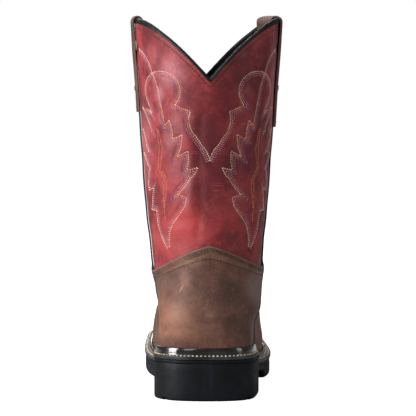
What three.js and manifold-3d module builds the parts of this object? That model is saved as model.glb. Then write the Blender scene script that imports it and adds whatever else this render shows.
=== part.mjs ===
// Right western work boot: a pull-on boot with a scalloped shaft, a brown vamp and heel counter
// laid over the shaft's own leather, side piping, pull straps, a storm welt, an outsole and a heel.
// Millimetres, +Z up, +Y to the toe, +X to the outer (lateral) side.
// The origin is on the floor, in the middle of the heel's bottom face.
import * as THREE from 'three';
import { mergeVertices } from 'three/addons/utils/BufferGeometryUtils.js';
import Module from 'manifold-3d';

const wasm = await Module();
wasm.setup();

// Sole, in plan.
const soleLength = 300;
const ballWidth = 108;
const heelWidth = 83.5;
const heelSeatLength = 80;
const heelRounding = 36;
const toeRounding = 30;
const heelCornerPower = 2.4;
const toeCornerPower = 3;
const heelCentre = 40;

// Sole, in height.
const heelHeight = 30;
const heelLayer = 2.8;
const weltThickness = 2.5;
const forefootHeight = 17.8;
const toeSpring = 14;
const shankThickness = 7;
const treadStart = 152;
const treadDepth = 2.6;
const grooveWidth = 3.2;
const grooveCount = 9;
const heelGrooveCount = 3;
const chevronDepth = 9;
const treadMargin = 16;
const shankBlend = 14;
const treadBlend = 7;
const breastHollow = 4;
const outsoleInset = 0.8;

// Leather, welt and clearance.
const clearance = 0.3;
const soleClearance = 0.4;
const wall = 2.4;
const overlayThickness = 1.6;
const weltReachHeel = 4.4;
const weltReachToe = 7.9;
const beadHeightHeel = 6.6;
const beadHeightToe = 4.2;
const bandThickness = 1;
const bandWidth = 7;
const insoleThickness = 3.5;
const insoleMargin = 0.7;

// Shaft and collar.
const collarHalfWidth = 58.6;
const collarPeakHeight = 301.8;
const backDipHeight = 254.2;
const frontDipHeight = 252.5;
const scallopPower = 1.45;
const bindingHeight = 2.4;
const bindingProud = 0.6;

// Side seams, their piping and the pull straps.
const seamAtCollar = 75;
const seamAtWelt = 64;
const pipingWidth = 4.4;
const pipingProud = 1.4;
const strapWidth = 23;
const strapThickness = 1.6;
const strapOuterLateral = 84;
const strapOuterMedial = 72;
const strapInnerLength = 70;
const strapRise = 4.2;
const strapFlareLateral = { back: 2, front: 12 };
const strapFlareMedial = { back: 1, front: 1.5 };

// Top lines of the counter and the vamp.
const counterTipHeight = 124;
const vampTipHeight = 150;
const topLineLateral = 103;
const topLineMedial = 100;
const topLinePower = 1.3;

// Columns of points on each side, behind and ahead of the seam, and rows of them from the welt
// to the top line and on to the collar.
const backColumns = 8;
const frontColumns = 18;
const beadRow = 2;
const bandRow = 9;
const topLineRow = 10;
const collarRow = 19;

// The sole's centre line and half width, from heel to toe. at is a share of the sole's length,
// centre a share of the ball width, and the half width is heel times the heel's width plus
// ball times the ball's.
const soleSections = [
  { at: 0.0, centre: -0.046, heel: 0.5, ball: 0.0 },
  { at: 0.1, centre: -0.006, heel: 0.5, ball: 0.0 },
  { at: 0.2, centre: 0.024, heel: 0.5, ball: 0.0 },
  { at: 0.27, centre: 0.038, heel: 0.478, ball: 0.0 },
  { at: 0.35, centre: 0.046, heel: 0.29, ball: 0.131 },
  { at: 0.43, centre: 0.045, heel: 0.15, ball: 0.262 },
  { at: 0.5, centre: 0.043, heel: 0.06, ball: 0.378 },
  { at: 0.58, centre: 0.036, heel: 0.0, ball: 0.476 },
  { at: 0.67, centre: 0.022, heel: 0.0, ball: 0.5 },
  { at: 0.75, centre: 0.006, heel: 0.0, ball: 0.499 },
  { at: 0.83, centre: -0.009, heel: 0.0, ball: 0.481 },
  { at: 0.92, centre: -0.028, heel: 0.0, ball: 0.448 },
  { at: 1.0, centre: -0.048, heel: 0.0, ball: 0.412 },
];

// The upper's rings, from the feather line to the collar. backIn and frontIn are shares of the
// upper's length, in from its heel and toe. backUp and frontUp are shares of the rise from the
// feather line to the collar's dips. half is the widest half width as a share of the collar's,
// at the share peak of the ring. frontP to backQ are the powers of its round ends. foot is the
// share of the sole's own outline, flare the bulge as a share of the wall, sag the share of the
// feather line's dip, collar the share of the scallop, and backX and frontX shift the ring's
// ends sideways, as shares of the collar's half width.
const ringColumns = ['backIn', 'backUp', 'frontIn', 'frontUp', 'half', 'peak', 'frontP', 'frontQ',
  'backP', 'backQ', 'foot', 'flare', 'sag', 'collar', 'backX', 'frontX'];
const ringRows = [
  [0.0000, 0.000, 0.000, 0.000, 0.71, 0.26, 2.3, 2.2, 2.3, 2.2, 1.00, 0.00, 1.00, 0.00, 0.08, -0.1],
  [-0.006, 0.037, -0.003, 0.031, 0.71, 0.26, 2.3, 2.2, 2.3, 2.2, 1.00, 0.40, 1.00, 0.00, 0.08, -0.1],
  [-0.010, 0.077, 0.000, 0.066, 0.71, 0.26, 2.3, 2.2, 2.3, 2.2, 1.00, 0.50, 0.97, 0.00, 0.08, -0.1],
  [-0.012, 0.113, 0.010, 0.100, 0.77, 0.26, 2.2, 2.1, 2.3, 2.2, 0.93, 0.30, 0.90, 0.00, 0.08, -0.1],
  [-0.011, 0.147, 0.033, 0.131, 0.82, 0.26, 2.1, 1.9, 2.3, 2.2, 0.79, 0.10, 0.80, 0.00, 0.08, -0.07],
  [-0.008, 0.179, 0.077, 0.159, 0.82, 0.26, 2.0, 1.8, 2.3, 2.2, 0.58, 0.05, 0.66, 0.00, 0.08, -0.05],
  [-0.004, 0.211, 0.140, 0.188, 0.76, 0.28, 1.8, 1.6, 2.3, 2.2, 0.36, 0.00, 0.50, 0.00, 0.08, -0.04],
  [0.001, 0.242, 0.218, 0.218, 0.73, 0.30, 1.75, 1.6, 2.3, 2.2, 0.17, 0.00, 0.36, 0.00, 0.075, -0.035],
  [0.006, 0.274, 0.302, 0.253, 0.72, 0.33, 1.7, 1.6, 2.2, 2.1, 0.06, 0.00, 0.24, 0.00, 0.078, -0.03],
  [0.010, 0.306, 0.377, 0.295, 0.734, 0.37, 1.7, 1.6, 2.2, 2.1, 0.00, 0.00, 0.14, 0.00, 0.073, -0.03],
  [0.013, 0.339, 0.440, 0.343, 0.752, 0.41, 1.85, 1.75, 2.1, 2.0, 0.00, 0.00, 0.07, 0.00, 0.064, -0.03],
  [0.016, 0.376, 0.488, 0.395, 0.765, 0.45, 1.95, 1.85, 2.1, 2.0, 0.00, 0.00, 0.02, 0.00, 0.064, -0.03],
  [0.018, 0.416, 0.521, 0.452, 0.78, 0.48, 2.05, 1.95, 2.1, 2.0, 0.00, 0.00, 0.00, 0.00, 0.064, -0.03],
  [0.019, 0.466, 0.542, 0.515, 0.809, 0.50, 2.1, 2.0, 2.1, 2.0, 0.00, 0.00, 0.00, 0.00, 0.064, -0.03],
  [0.018, 0.529, 0.553, 0.587, 0.831, 0.50, 2.1, 2.0, 2.1, 2.0, 0.00, 0.00, 0.00, 0.00, 0.064, -0.03],
  [0.015, 0.611, 0.556, 0.668, 0.859, 0.50, 2.1, 2.0, 2.1, 2.0, 0.00, 0.00, 0.00, 0.00, 0.064, -0.03],
  [0.011, 0.701, 0.552, 0.751, 0.876, 0.50, 2.1, 2.0, 2.1, 2.0, 0.00, 0.00, 0.00, 0.00, 0.064, -0.03],
  [0.007, 0.796, 0.544, 0.834, 0.903, 0.50, 2.1, 2.0, 2.1, 2.0, 0.00, 0.00, 0.00, 0.00, 0.064, -0.03],
  [0.004, 0.858, 0.538, 0.889, 0.937, 0.50, 2.1, 2.0, 2.1, 2.0, 0.00, 0.00, 0.00, 0.30, 0.064, -0.03],
  [0.001, 0.920, 0.532, 0.943, 0.978, 0.50, 2.1, 2.0, 2.1, 2.0, 0.00, 0.00, 0.00, 0.65, 0.064, -0.03],
  [-0.002, 1.000, 0.527, 1.000, 1.000, 0.50, 2.1, 2.0, 2.1, 2.0, 0.00, 0.00, 0.00, 1.00, 0.064, -0.03],
];
const topRing = ringRows.length - 1;

const mix = (from, to, share) => from + (to - from) * share;
const clamp = (value, low, high) => Math.min(high, Math.max(low, value));

function ease(share) {
  const t = clamp(share, 0, 1);
  return t * t * (3 - 2 * t);
}

// A smooth curve through evenly numbered values, read at any place between them.
function through(values, place) {
  const i = clamp(Math.floor(place), 0, values.length - 2);
  const t = place - i;
  const at = (n) => values[clamp(n, 0, values.length - 1)];
  const enter = (at(i + 1) - at(i - 1)) / 2;
  const leave = (at(i + 2) - at(i)) / 2;
  const square = t * t;
  const cube = square * t;
  return at(i) * (2 * cube - 3 * square + 1) + enter * (cube - 2 * square + t)
    + at(i + 1) * (3 * square - 2 * cube) + leave * (cube - square);
}

// The same through table rows with uneven places, held in the column at.
function alongTable(rows, column, at) {
  let i = 0;
  while (i < rows.length - 2 && rows[i + 1].at < at) i += 1;
  const t = clamp((at - rows[i].at) / (rows[i + 1].at - rows[i].at), 0, 1);
  return through(rows.map((row) => row[column]), i + t);
}

const ring = (place) => Object.fromEntries(ringColumns.map((name, column) => (
  [name, through(ringRows.map((row) => row[column]), place)])));

// Heights along the sole, at y measured from the back of the welt.
const springAt = (y) => toeSpring * (Math.max(0, y / soleLength - 0.6) / 0.4) ** 2;
const seatHeight = heelHeight + clearance + heelLayer + soleClearance + weltThickness;
const weltTopAt = (y) => mix(seatHeight, forefootHeight, ease((y / soleLength - 0.09) / 0.41))
  + springAt(y);
const featherAt = (y) => weltTopAt(y) - weltThickness;
const outsoleTopAt = (y) => featherAt(y) - soleClearance;
const beadHeightAt = (y) => mix(beadHeightHeel, beadHeightToe, ease((y / soleLength - 0.25) / 0.25));

const heelTopAt = (y) => outsoleTopAt(y) - heelLayer - clearance;

function outsoleBottomAt(y) {
  const thickness = mix(heelLayer, shankThickness, ease((y - heelSeatLength) / shankBlend));
  const land = ease((y - treadStart) / treadBlend);
  return mix(outsoleTopAt(y) - thickness, springAt(y), land);
}

// Stations crowd towards the round ends of a loop.
const stationShare = (t) => mix((1 - Math.cos(Math.PI * t)) / 2, t, 0.35);

// How far a loop is taken in from the sole's outline at the heel and at the toe.
const evenly = (inset) => ({ heel: inset, toe: inset });
const further = (margin, by) => ({ heel: margin.heel + by, toe: margin.toe + by });

function loopY(share, margin) {
  return mix(margin.heel, soleLength - margin.toe, share);
}

function outlineHalf(share, margin) {
  const inset = mix(margin.heel, margin.toe, ease(share / 0.45));
  const y = loopY(share, margin);
  const at = y / soleLength;
  const half = alongTable(soleSections, 'heel', at) * heelWidth
    + alongTable(soleSections, 'ball', at) * ballWidth - inset;
  const fromHeel = clamp(1 - (y - margin.heel) / (heelRounding - margin.heel), 0, 1);
  const fromToe = clamp(1 - (soleLength - margin.toe - y) / (toeRounding - margin.toe), 0, 1);
  return half * (1 - fromHeel ** heelCornerPower) ** (1 / heelCornerPower)
    * (1 - fromToe ** toeCornerPower) ** (1 / toeCornerPower);
}

const centreAt = (y) => alongTable(soleSections, 'centre', clamp(y / soleLength, 0, 1)) * ballWidth;
const headingAt = (y) => (centreAt(y + 4) - centreAt(y - 4)) / 8;

// A point of the outline. side is 1 on the lateral side and -1 on the medial side.
function outlinePoint(share, side, margin) {
  const y = loopY(share, margin);
  const half = outlineHalf(share, margin);
  return { x: centreAt(y) + side * half, y: y - side * half * headingAt(y) };
}

// The upper's outer face. The turn runs from 0 at the back, along the lateral side to 1 at the
// front, and back along the medial side to 2. The level is a place among the rings.
const weltReach = { heel: weltReachHeel, toe: weltReachToe };
const upperMargin = further(weltReach, overlayThickness + 2 * clearance);
const upperBack = loopY(0, upperMargin);
const upperFront = loopY(1, upperMargin);
const upperLength = upperFront - upperBack;
const heelFeather = featherAt(upperBack);
const toeFeather = featherAt(upperFront);

const sideOf = (turn) => (turn <= 1 ? { side: 1, share: stationShare(turn) }
  : { side: -1, share: stationShare(2 - turn) });

function ringEnds(level) {
  const r = ring(level);
  return {
    r,
    backY: upperBack + r.backIn * upperLength,
    frontY: upperFront - r.frontIn * upperLength,
    backZ: heelFeather + r.backUp * (backDipHeight - heelFeather),
    frontZ: toeFeather + r.frontUp * (frontDipHeight - toeFeather),
  };
}

function roundEnd(away, p, q) {
  return Math.max(0, 1 - clamp(away, 0, 1) ** p) ** (1 / q);
}

function upperSidePoint(share, side, level) {
  const { r, backY, frontY, backZ, frontZ } = ringEnds(level);
  const behind = share < r.peak;
  const away = behind ? (r.peak - share) / r.peak : (share - r.peak) / (1 - r.peak);
  const legShare = behind ? roundEnd(away, r.backP, r.backQ) : roundEnd(away, r.frontP, r.frontQ);
  const legHalf = r.half * collarHalfWidth * legShare;
  const footHalf = outlineHalf(share, further(upperMargin, -r.flare * wall));
  const half = mix(legHalf, footHalf, r.foot);
  const y = mix(backY, frontY, share);
  const footY = loopY(share, upperMargin);
  const legX = mix(r.backX, r.frontX, share) * collarHalfWidth;
  const x = mix(legX, centreAt(footY), r.foot) + side * half;
  const turnedY = y - side * half * headingAt(footY) * r.foot;
  const chord = mix(heelFeather, toeFeather, (y - upperBack) / upperLength);
  const flat = mix(backZ, frontZ, share) + r.sag * (featherAt(turnedY) - chord);
  const dip = behind ? backDipHeight : frontDipHeight;
  const scallop = mix(dip, collarPeakHeight, 1 - (1 - clamp(legShare, 0, 1)) ** scallopPower);
  return new THREE.Vector3(x, turnedY, mix(flat, scallop, r.collar));
}

function upperPoint(turn, level) {
  const { side, share } = sideOf(((turn % 2) + 2) % 2);
  return upperSidePoint(share, side, level);
}

// A point at a distance out from the upper's face, along its normal.
function upperOffset(turn, level, distance) {
  const step = 0.006;
  const rise = 0.06;
  const point = upperPoint(turn, level);
  const around = upperPoint(turn + step, level).sub(upperPoint(turn - step, level));
  const low = Math.max(0, level - rise);
  const high = Math.min(topRing, level + rise);
  const up = upperPoint(turn, high).sub(upperPoint(turn, low));
  const normal = around.cross(up).normalize();
  return point.addScaledVector(normal, distance);
}

// The side seam runs from the collar down to the welt.
function seamY(level) {
  return mix(seamAtWelt, seamAtCollar, ease(level / 9));
}

// The turn at a share of the way along one side.
function turnOf(share, side) {
  let low = 0;
  let high = 1;
  for (let i = 0; i < 30; i += 1) {
    const middle = (low + high) / 2;
    if (stationShare(middle) < share) low = middle;
    else high = middle;
  }
  return side > 0 ? low : 2 - low;
}

// The turn at which the upper passes a place y on one side.
function turnAtY(y, side, level) {
  const { backY, frontY } = ringEnds(level);
  return turnOf(clamp((y - backY) / (frontY - backY), 0, 1), side);
}

// The level at which the upper reaches a height, at a turn.
function levelAtHeight(turn, height) {
  let low = 0;
  let high = topRing;
  for (let i = 0; i < 30; i += 1) {
    const middle = (low + high) / 2;
    if (upperPoint(turn, middle).z < height) low = middle;
    else high = middle;
  }
  return low;
}

// Meshes.
function geometryFrom(points, faces) {
  const geometry = new THREE.BufferGeometry();
  const flat = points.flatMap((p) => [p.x, p.y, p.z]);
  geometry.setAttribute('position', new THREE.Float32BufferAttribute(flat, 3));
  let volume = 0;
  for (const [a, b, c] of faces) {
    volume += points[a].dot(new THREE.Vector3().crossVectors(points[b], points[c]));
  }
  const turned = volume < 0 ? faces.map(([a, b, c]) => [a, c, b]) : faces;
  geometry.setIndex(turned.flat());
  return geometry;
}

// A closed solid between two grids of the same size, near[i][j] and far[i][j].
// With round set, i runs round a loop and joins its own start.
function between(near, far, round) {
  const rows = near.length;
  const columns = near[0].length;
  const points = [...near.flat(), ...far.flat()];
  const at = (layer, i, j) => layer * rows * columns + (i % rows) * columns + j;
  const faces = [];
  const quad = (a, b, c, d) => faces.push([a, b, c], [a, c, d]);
  const steps = round ? rows : rows - 1;
  for (let i = 0; i < steps; i += 1) {
    for (let j = 0; j < columns - 1; j += 1) {
      quad(at(0, i, j), at(0, i + 1, j), at(0, i + 1, j + 1), at(0, i, j + 1));
      quad(at(1, i, j), at(1, i, j + 1), at(1, i + 1, j + 1), at(1, i + 1, j));
    }
    quad(at(0, i, 0), at(1, i, 0), at(1, i + 1, 0), at(0, i + 1, 0));
    const top = columns - 1;
    quad(at(0, i, top), at(0, i + 1, top), at(1, i + 1, top), at(1, i, top));
  }
  if (!round) {
    for (let j = 0; j < columns - 1; j += 1) {
      const end = rows - 1;
      quad(at(0, 0, j), at(0, 0, j + 1), at(1, 0, j + 1), at(1, 0, j));
      quad(at(0, end, j), at(1, end, j), at(1, end, j + 1), at(0, end, j + 1));
    }
  }
  return geometryFrom(points, faces);
}

// A ring with the same closed section at every turn, sections[i] being its points.
function sweptRing(sections) {
  const count = sections.length;
  const size = sections[0].length;
  const faces = [];
  for (let i = 0; i < count; i += 1) {
    for (let j = 0; j < size; j += 1) {
      const a = i * size + j;
      const b = i * size + ((j + 1) % size);
      const c = ((i + 1) % count) * size + ((j + 1) % size);
      const d = ((i + 1) % count) * size + j;
      faces.push([a, b, c], [a, c, d]);
    }
  }
  return geometryFrom(sections.flat(), faces);
}

// A slab from loops stacked upwards. Each loop has the lateral side's points from the back to the
// front and then the medial side's back again, so its caps are strips across the sole.
function stackedSlab(loops) {
  const count = loops[0].length;
  const points = loops.flat();
  const faces = [];
  for (let k = 0; k < loops.length - 1; k += 1) {
    for (let i = 0; i < count; i += 1) {
      const next = (i + 1) % count;
      const a = k * count + i;
      const b = k * count + next;
      faces.push([a, b, b + count], [a, b + count, a + count]);
    }
  }
  const cap = (base, flip) => {
    for (let i = 0; i < count / 2; i += 1) {
      const a = base + i;
      const b = base + i + 1;
      const c = base + ((count - i - 1) % count);
      const d = base + ((count - i) % count);
      const pair = i === 0 ? [[a, b, c]] : [[a, b, c], [a, c, d]];
      for (const [p, q, r] of pair) {
        if (q !== r) faces.push(flip ? [p, r, q] : [p, q, r]);
      }
    }
  };
  cap(0, true);
  cap((loops.length - 1) * count, false);
  return geometryFrom(points, faces);
}

// A loop of the sole's outline, taken in by a margin, at a height worked out from y.
function outlineLoop(margin, heightAt, places = columns) {
  return places.map((column) => {
    const share = column.share ?? columnShare(column, 0);
    const p = outlinePoint(share, column.side, margin);
    return new THREE.Vector3(p.x, p.y, heightAt(p.y));
  });
}

function toManifold(geometry) {
  const merged = geometry.clone();
  merged.deleteAttribute('normal');
  merged.deleteAttribute('uv');
  const welded = mergeVertices(merged, 1e-4);
  return new wasm.Manifold(new wasm.Mesh({
    numProp: 3,
    vertProperties: new Float32Array(welded.attributes.position.array),
    triVerts: new Uint32Array(welded.index.array),
  }));
}

function fromManifold(solid) {
  const { numProp, vertProperties, triVerts } = solid.getMesh();
  const geometry = new THREE.BufferGeometry();
  const positions = [];
  for (let i = 0; i < vertProperties.length; i += numProp) {
    positions.push(vertProperties[i], vertProperties[i + 1], vertProperties[i + 2]);
  }
  geometry.setAttribute('position', new THREE.Float32BufferAttribute(positions, 3));
  geometry.setIndex(Array.from(triVerts));
  return geometry;
}

const materials = {
  redLeather: new THREE.MeshStandardMaterial({ color: 0x8e3a3f, roughness: 0.55, metalness: 0 }),
  brownLeather: new THREE.MeshStandardMaterial({ color: 0x6f4a3c, roughness: 0.6, metalness: 0 }),
  blackTrim: new THREE.MeshStandardMaterial({ color: 0x17181a, roughness: 0.5, metalness: 0 }),
  welt: new THREE.MeshStandardMaterial({ color: 0x26272b, roughness: 0.35, metalness: 0 }),
  rubber: new THREE.MeshStandardMaterial({ color: 0x1c1e22, roughness: 0.7, metalness: 0 }),
  insole: new THREE.MeshStandardMaterial({ color: 0x2b2a2a, roughness: 0.9, metalness: 0 }),
};

const boot = new THREE.Group();

// Adds a named piece. Geometry is measured from the back of the welt, and the piece is placed so
// that the middle of the heel is the origin.
function addPiece(name, geometry, material) {
  const piece = new THREE.Mesh(geometry, material);
  piece.name = name;
  piece.position.set(-centreAt(heelCentre), -heelCentre, 0);
  boot.add(piece);
}

// The columns run round the upper from the middle of its back: the lateral side forwards and the
// medial side back. t is 1 at the seam in columns behind it, and 0 at the seam in those ahead.
const sideColumns = (side) => [
  ...Array.from({ length: backColumns + 1 }, (_, i) => ({ side, behind: true, t: i / backColumns })),
  { side, seam: true },
  ...Array.from({ length: frontColumns + 1 }, (_, i) => ({ side, behind: false, t: i / frontColumns })),
];
const columns = [...sideColumns(1), ...sideColumns(-1).slice(1, -1).reverse()];
const seamEdge = pipingWidth / 2 + clearance;
const crowd = (t) => 1.6 * t ** 2 / (t + 0.6);

function columnShare(column, level) {
  const { backY, frontY } = ringEnds(level);
  const share = (y) => (y - backY) / (frontY - backY);
  if (column.seam) return share(seamY(level));
  if (column.behind) return share(seamY(level) - seamEdge) * crowd(column.t);
  return 1 - (1 - share(seamY(level) + seamEdge)) * crowd(1 - column.t);
}

const columnTurn = (column, level) => turnOf(columnShare(column, level), column.side);

// The level of a height on a column.
function levelOnColumn(column, height) {
  let low = 0;
  let high = topRing;
  for (let i = 0; i < 24; i += 1) {
    const middle = (low + high) / 2;
    if (upperPoint(columnTurn(column, middle), middle).z < height) low = middle;
    else high = middle;
  }
  return low;
}

// The height of the leather pieces' top line on a column.
function topLineHeight(column) {
  const side = column.side > 0 ? topLineLateral : topLineMedial;
  const tip = column.behind ? counterTipHeight : vampTipHeight;
  const guess = levelOnColumn(column, (side + tip) / 2);
  const at = (share) => upperSidePoint(share, column.side, guess).x;
  const seamShare = columnShare({ seam: true, side: column.side }, guess);
  const middle = at(column.behind ? 0 : 1);
  const out = clamp((at(columnShare(column, guess)) - middle) / (at(seamShare) - middle), 0, 1);
  return column.seam ? side : mix(tip, side, out ** topLinePower);
}

// The levels of a column's rows: the welt's bead, the top band and the top line each have one.
for (const column of columns) {
  const foot = upperPoint(columnTurn(column, 0), 0);
  const bead = levelOnColumn(column, foot.z + weltThickness + beadHeightAt(foot.y) * 0.85);
  const top = topLineHeight(column);
  const band = levelOnColumn(column, top - bandWidth);
  const topLevel = levelOnColumn(column, top);
  column.levels = [];
  for (let row = 0; row <= collarRow; row += 1) {
    if (row <= beadRow) column.levels.push(bead * (row / beadRow));
    else if (row <= bandRow) column.levels.push(mix(bead, band, (row - beadRow) / (bandRow - beadRow)));
    else column.levels.push(mix(topLevel, topRing, (row - topLineRow) / (collarRow - topLineRow)));
  }
}

const levelOfRow = (column, row) => {
  const i = Math.min(Math.floor(row), collarRow - 1);
  return mix(column.levels[i], column.levels[i + 1], row - i);
};

// A point at a distance out from the upper, on a column and a row.
function onUpper(column, row, distance) {
  const level = levelOfRow(column, row);
  const turn = columnTurn(column, level);
  const point = upperOffset(turn, level, distance);
  if (row === 0) point.z = featherAt(point.y);
  if (row === collarRow) point.z = upperPoint(turn, level).z;
  return point;
}

const seamIndex = backColumns + 1;
const counterRun = [...columns.slice(-(seamIndex - 1)), ...columns.slice(0, seamIndex)];
const vampRun = columns.slice(seamIndex + 1, columns.length - seamIndex);

// The hollow upper: one wall from the feather line to the collar, open at both.
function makeUpper() {
  const rows = Array.from({ length: collarRow + 1 }, (_, row) => row);
  const face = (distance) => columns.map((column) => rows.map((row) => onUpper(column, row, distance)));
  return between(face(0), face(-wall), true);
}

// A leather overlay over a run of columns, from the feather line to its top line, which has a
// thicker folded band along it.
function makeOverlay(run) {
  const rows = Array.from({ length: bandRow + 1 }, (_, row) => ({ row, out: 0 }));
  rows.push({ row: bandRow + 0.12, out: bandThickness });
  rows.push({ row: topLineRow, out: bandThickness * 0.7 });
  const face = (distance, banded) => run.map((column) => rows.map(({ row, out }) => (
    onUpper(column, row, distance + banded * out))));
  return between(face(clearance + overlayThickness, 1), face(clearance, 0), false);
}

// Black piping over a side seam, from the welt's bead to the collar.
function makePiping(side) {
  const column = columns.find((one) => one.seam && one.side === side);
  const rows = Array.from({ length: collarRow - beadRow + 1 }, (_, i) => beadRow + i);
  const levels = rows.map((row) => levelOfRow(column, row === beadRow ? row + 0.12 : row));
  const across = [-0.5, -0.28, 0.28, 0.5];
  const crown = [0.55, 1, 1, 0.55];
  const near = [];
  const far = [];
  across.forEach((share, j) => {
    const place = (level, distance) => {
      const turn = turnAtY(seamY(level) + share * pipingWidth, side, level);
      const point = upperOffset(turn, level, distance);
      if (level === topRing) point.z = upperPoint(turn, level).z;
      return point;
    };
    const onLeather = (level, i) => {
      const lap = 1 - ease((i + beadRow - topLineRow + 1) / 2);
      return clearance + (pipingProud + lap * overlayThickness * 0.8) * crown[j];
    };
    near.push(levels.map((level) => place(level, clearance)));
    far.push(levels.map((level, i) => place(level, onLeather(level, i))));
  });
  return between(far, near, false);
}

// A rolled binding that caps the collar's edge.
function makeBinding() {
  const sections = columns.map((column) => {
    const at = (distance, up) => {
      const point = onUpper(column, collarRow, distance);
      point.z += clearance + up;
      return point;
    };
    return [
      at(bindingProud, 0), at(bindingProud, bindingHeight * 0.6),
      at(-wall * 0.2, bindingHeight), at(-wall * 0.8, bindingHeight),
      at(-wall - bindingProud, bindingHeight * 0.6), at(-wall - bindingProud, 0),
    ];
  });
  return sweptRing(sections);
}

// A pull strap: up the outside over the piping, over the collar in a loop and down the inside.
// The inside leg hangs clear of the wall by its flare, at its back edge and at its front edge.
function makeStrap(side, outerLength, flare) {
  const across = [-0.5, -0.3, 0, 0.3, 0.5];
  const lift = [0.2, 0.75, 1, 0.75, 0.2];
  const outerSteps = 8;
  const loopSteps = 8;
  const innerSteps = 6;
  const middleSeat = clearance * 2 + pipingProud + strapThickness / 2;
  const edgeSeat = clearance + strapThickness / 2;
  const insideSeat = wall + bindingProud + clearance + strapThickness / 2;
  const turnAt = (level, share) => turnAtY(seamY(level) + share * strapWidth, side, level);
  const peakTurn = turnAt(topRing, 0);
  const outerFoot = levelAtHeight(peakTurn, collarPeakHeight - outerLength);
  const innerFoot = levelAtHeight(peakTurn, collarPeakHeight - strapInnerLength);
  const near = [];
  const far = [];
  across.forEach((share, j) => {
    const path = [];
    const outerSeat = mix(edgeSeat, middleSeat, lift[j]);
    const hang = mix(flare.back, flare.front, share + 0.5);
    for (let i = 0; i <= outerSteps; i += 1) {
      const level = mix(outerFoot, topRing, i / outerSteps);
      const clear = bindingProud * (1 - lift[j]) * ease(3 * (i / outerSteps) - 2);
      path.push(upperOffset(turnAt(level, share), level, outerSeat + clear));
    }
    const outerTop = path[path.length - 1].clone();
    const innerTop = upperOffset(turnAt(topRing, share), topRing, -insideSeat - hang);
    const apex = collarPeakHeight + clearance + bindingHeight + strapRise - strapThickness;
    const middle = outerTop.clone().add(innerTop).multiplyScalar(0.5);
    const reach = outerTop.clone().sub(innerTop).multiplyScalar(0.5);
    reach.z = 0;
    const base = Math.max(outerTop.z, innerTop.z);
    for (let i = 0; i <= loopSteps; i += 1) {
      const angle = Math.PI * (i / loopSteps);
      const point = middle.clone().addScaledVector(reach, Math.cos(angle));
      point.z = base + clearance + (apex - base - clearance) * Math.sin(angle) ** 0.8;
      path.push(point);
    }
    for (let i = 1; i <= innerSteps; i += 1) {
      const level = mix(topRing, innerFoot, i / innerSteps);
      const clear = hang * (1 - ease(i / innerSteps));
      path.push(upperOffset(turnAt(level, share), level, -insideSeat - clear));
    }
    near.push(path);
  });
  const middlePath = near.map((path) => path.map((point) => point.clone()));
  const normalAt = (j, i) => {
    const path = middlePath[j];
    const along = path[Math.min(i + 1, path.length - 1)].clone().sub(path[Math.max(i - 1, 0)]);
    const low = middlePath[Math.max(j - 1, 0)][i];
    const high = middlePath[Math.min(j + 1, across.length - 1)][i];
    return high.clone().sub(low).cross(along).normalize().multiplyScalar(side);
  };
  middlePath.forEach((path, j) => {
    far.push(path.map((point, i) => point.clone().addScaledVector(normalAt(j, i), strapThickness / 2)));
    near[j] = path.map((point, i) => point.clone().addScaledVector(normalAt(j, i), -strapThickness / 2));
  });
  return between(far, near, false);
}

// The storm welt: a flat strip round the sole with a bead that leans on the leather.
function makeWelt() {
  const leatherFace = clearance + overlayThickness + clearance;
  const sections = columns.map((column) => {
    const edge = outlinePoint(columnShare(column, 0), column.side, evenly(0));
    const top = weltTopAt(edge.y);
    const bead = beadHeightAt(edge.y);
    const inner = onUpper(column, 0, leatherFace);
    const outerLow = new THREE.Vector3(edge.x, edge.y, top - weltThickness);
    const outerTop = new THREE.Vector3(edge.x, edge.y, top);
    const innerTop = onUpper(column, beadRow, leatherFace);
    const slope = (across, up) => {
      const point = outerTop.clone().lerp(innerTop, across);
      point.z = mix(top, weltTopAt(innerTop.y), across) + up;
      return point;
    };
    return [
      outerLow, outerTop, slope(0.45, 0.7), slope(0.55, bead * 0.5),
      slope(0.72, bead * 0.95), innerTop, onUpper(column, beadRow / 2, leatherFace), inner,
    ];
  });
  return sweptRing(sections);
}

// The insole lies inside the upper's wall.
function makeInsole() {
  const margin = further(upperMargin, wall + insoleMargin);
  return stackedSlab([
    outlineLoop(margin, featherAt),
    outlineLoop(margin, (y) => featherAt(y) + insoleThickness),
  ]);
}

// Chevron and lengthwise grooves of the forefoot tread, which follow the toe spring.
function cutTread(solid) {
  const first = treadStart + treadMargin;
  const pitch = (soleLength - treadMargin - first) / (grooveCount - 1);
  let cut = solid;
  const carve = (corners, bottom, top) => {
    const shape = new THREE.Shape(corners.map(([x, y]) => new THREE.Vector2(x, y)));
    const block = new THREE.ExtrudeGeometry(shape, { depth: top - bottom, bevelEnabled: false });
    block.translate(0, 0, bottom);
    cut = cut.subtract(toManifold(block));
  };
  for (let i = 0; i < grooveCount; i += 1) {
    const y = first + i * pitch;
    const half = grooveWidth / 2;
    const top = springAt(y) + treadDepth;
    const reach = ballWidth;
    const middle = centreAt(y);
    carve([
      [middle - reach, y - chevronDepth - half], [middle, y - half],
      [middle + reach, y - chevronDepth - half], [middle + reach, y - chevronDepth + half],
      [middle, y + half], [middle - reach, y - chevronDepth + half],
    ], -2 * treadDepth, top);
  }
  return cut;
}

// Levels of the outsole's side: a rounded foot, a plain wall, a groove and a rib under the welt.
const outsoleSide = [
  { up: 0.0, inset: 2.2 },
  { up: 0.1, inset: 0.7 },
  { up: 0.66, inset: 0.0 },
  { up: 0.72, inset: 0.8 },
  { up: 0.78, inset: 0.8 },
  { up: 0.84, inset: 0.0 },
  { up: 1.0, inset: 0.0 },
];

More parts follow.
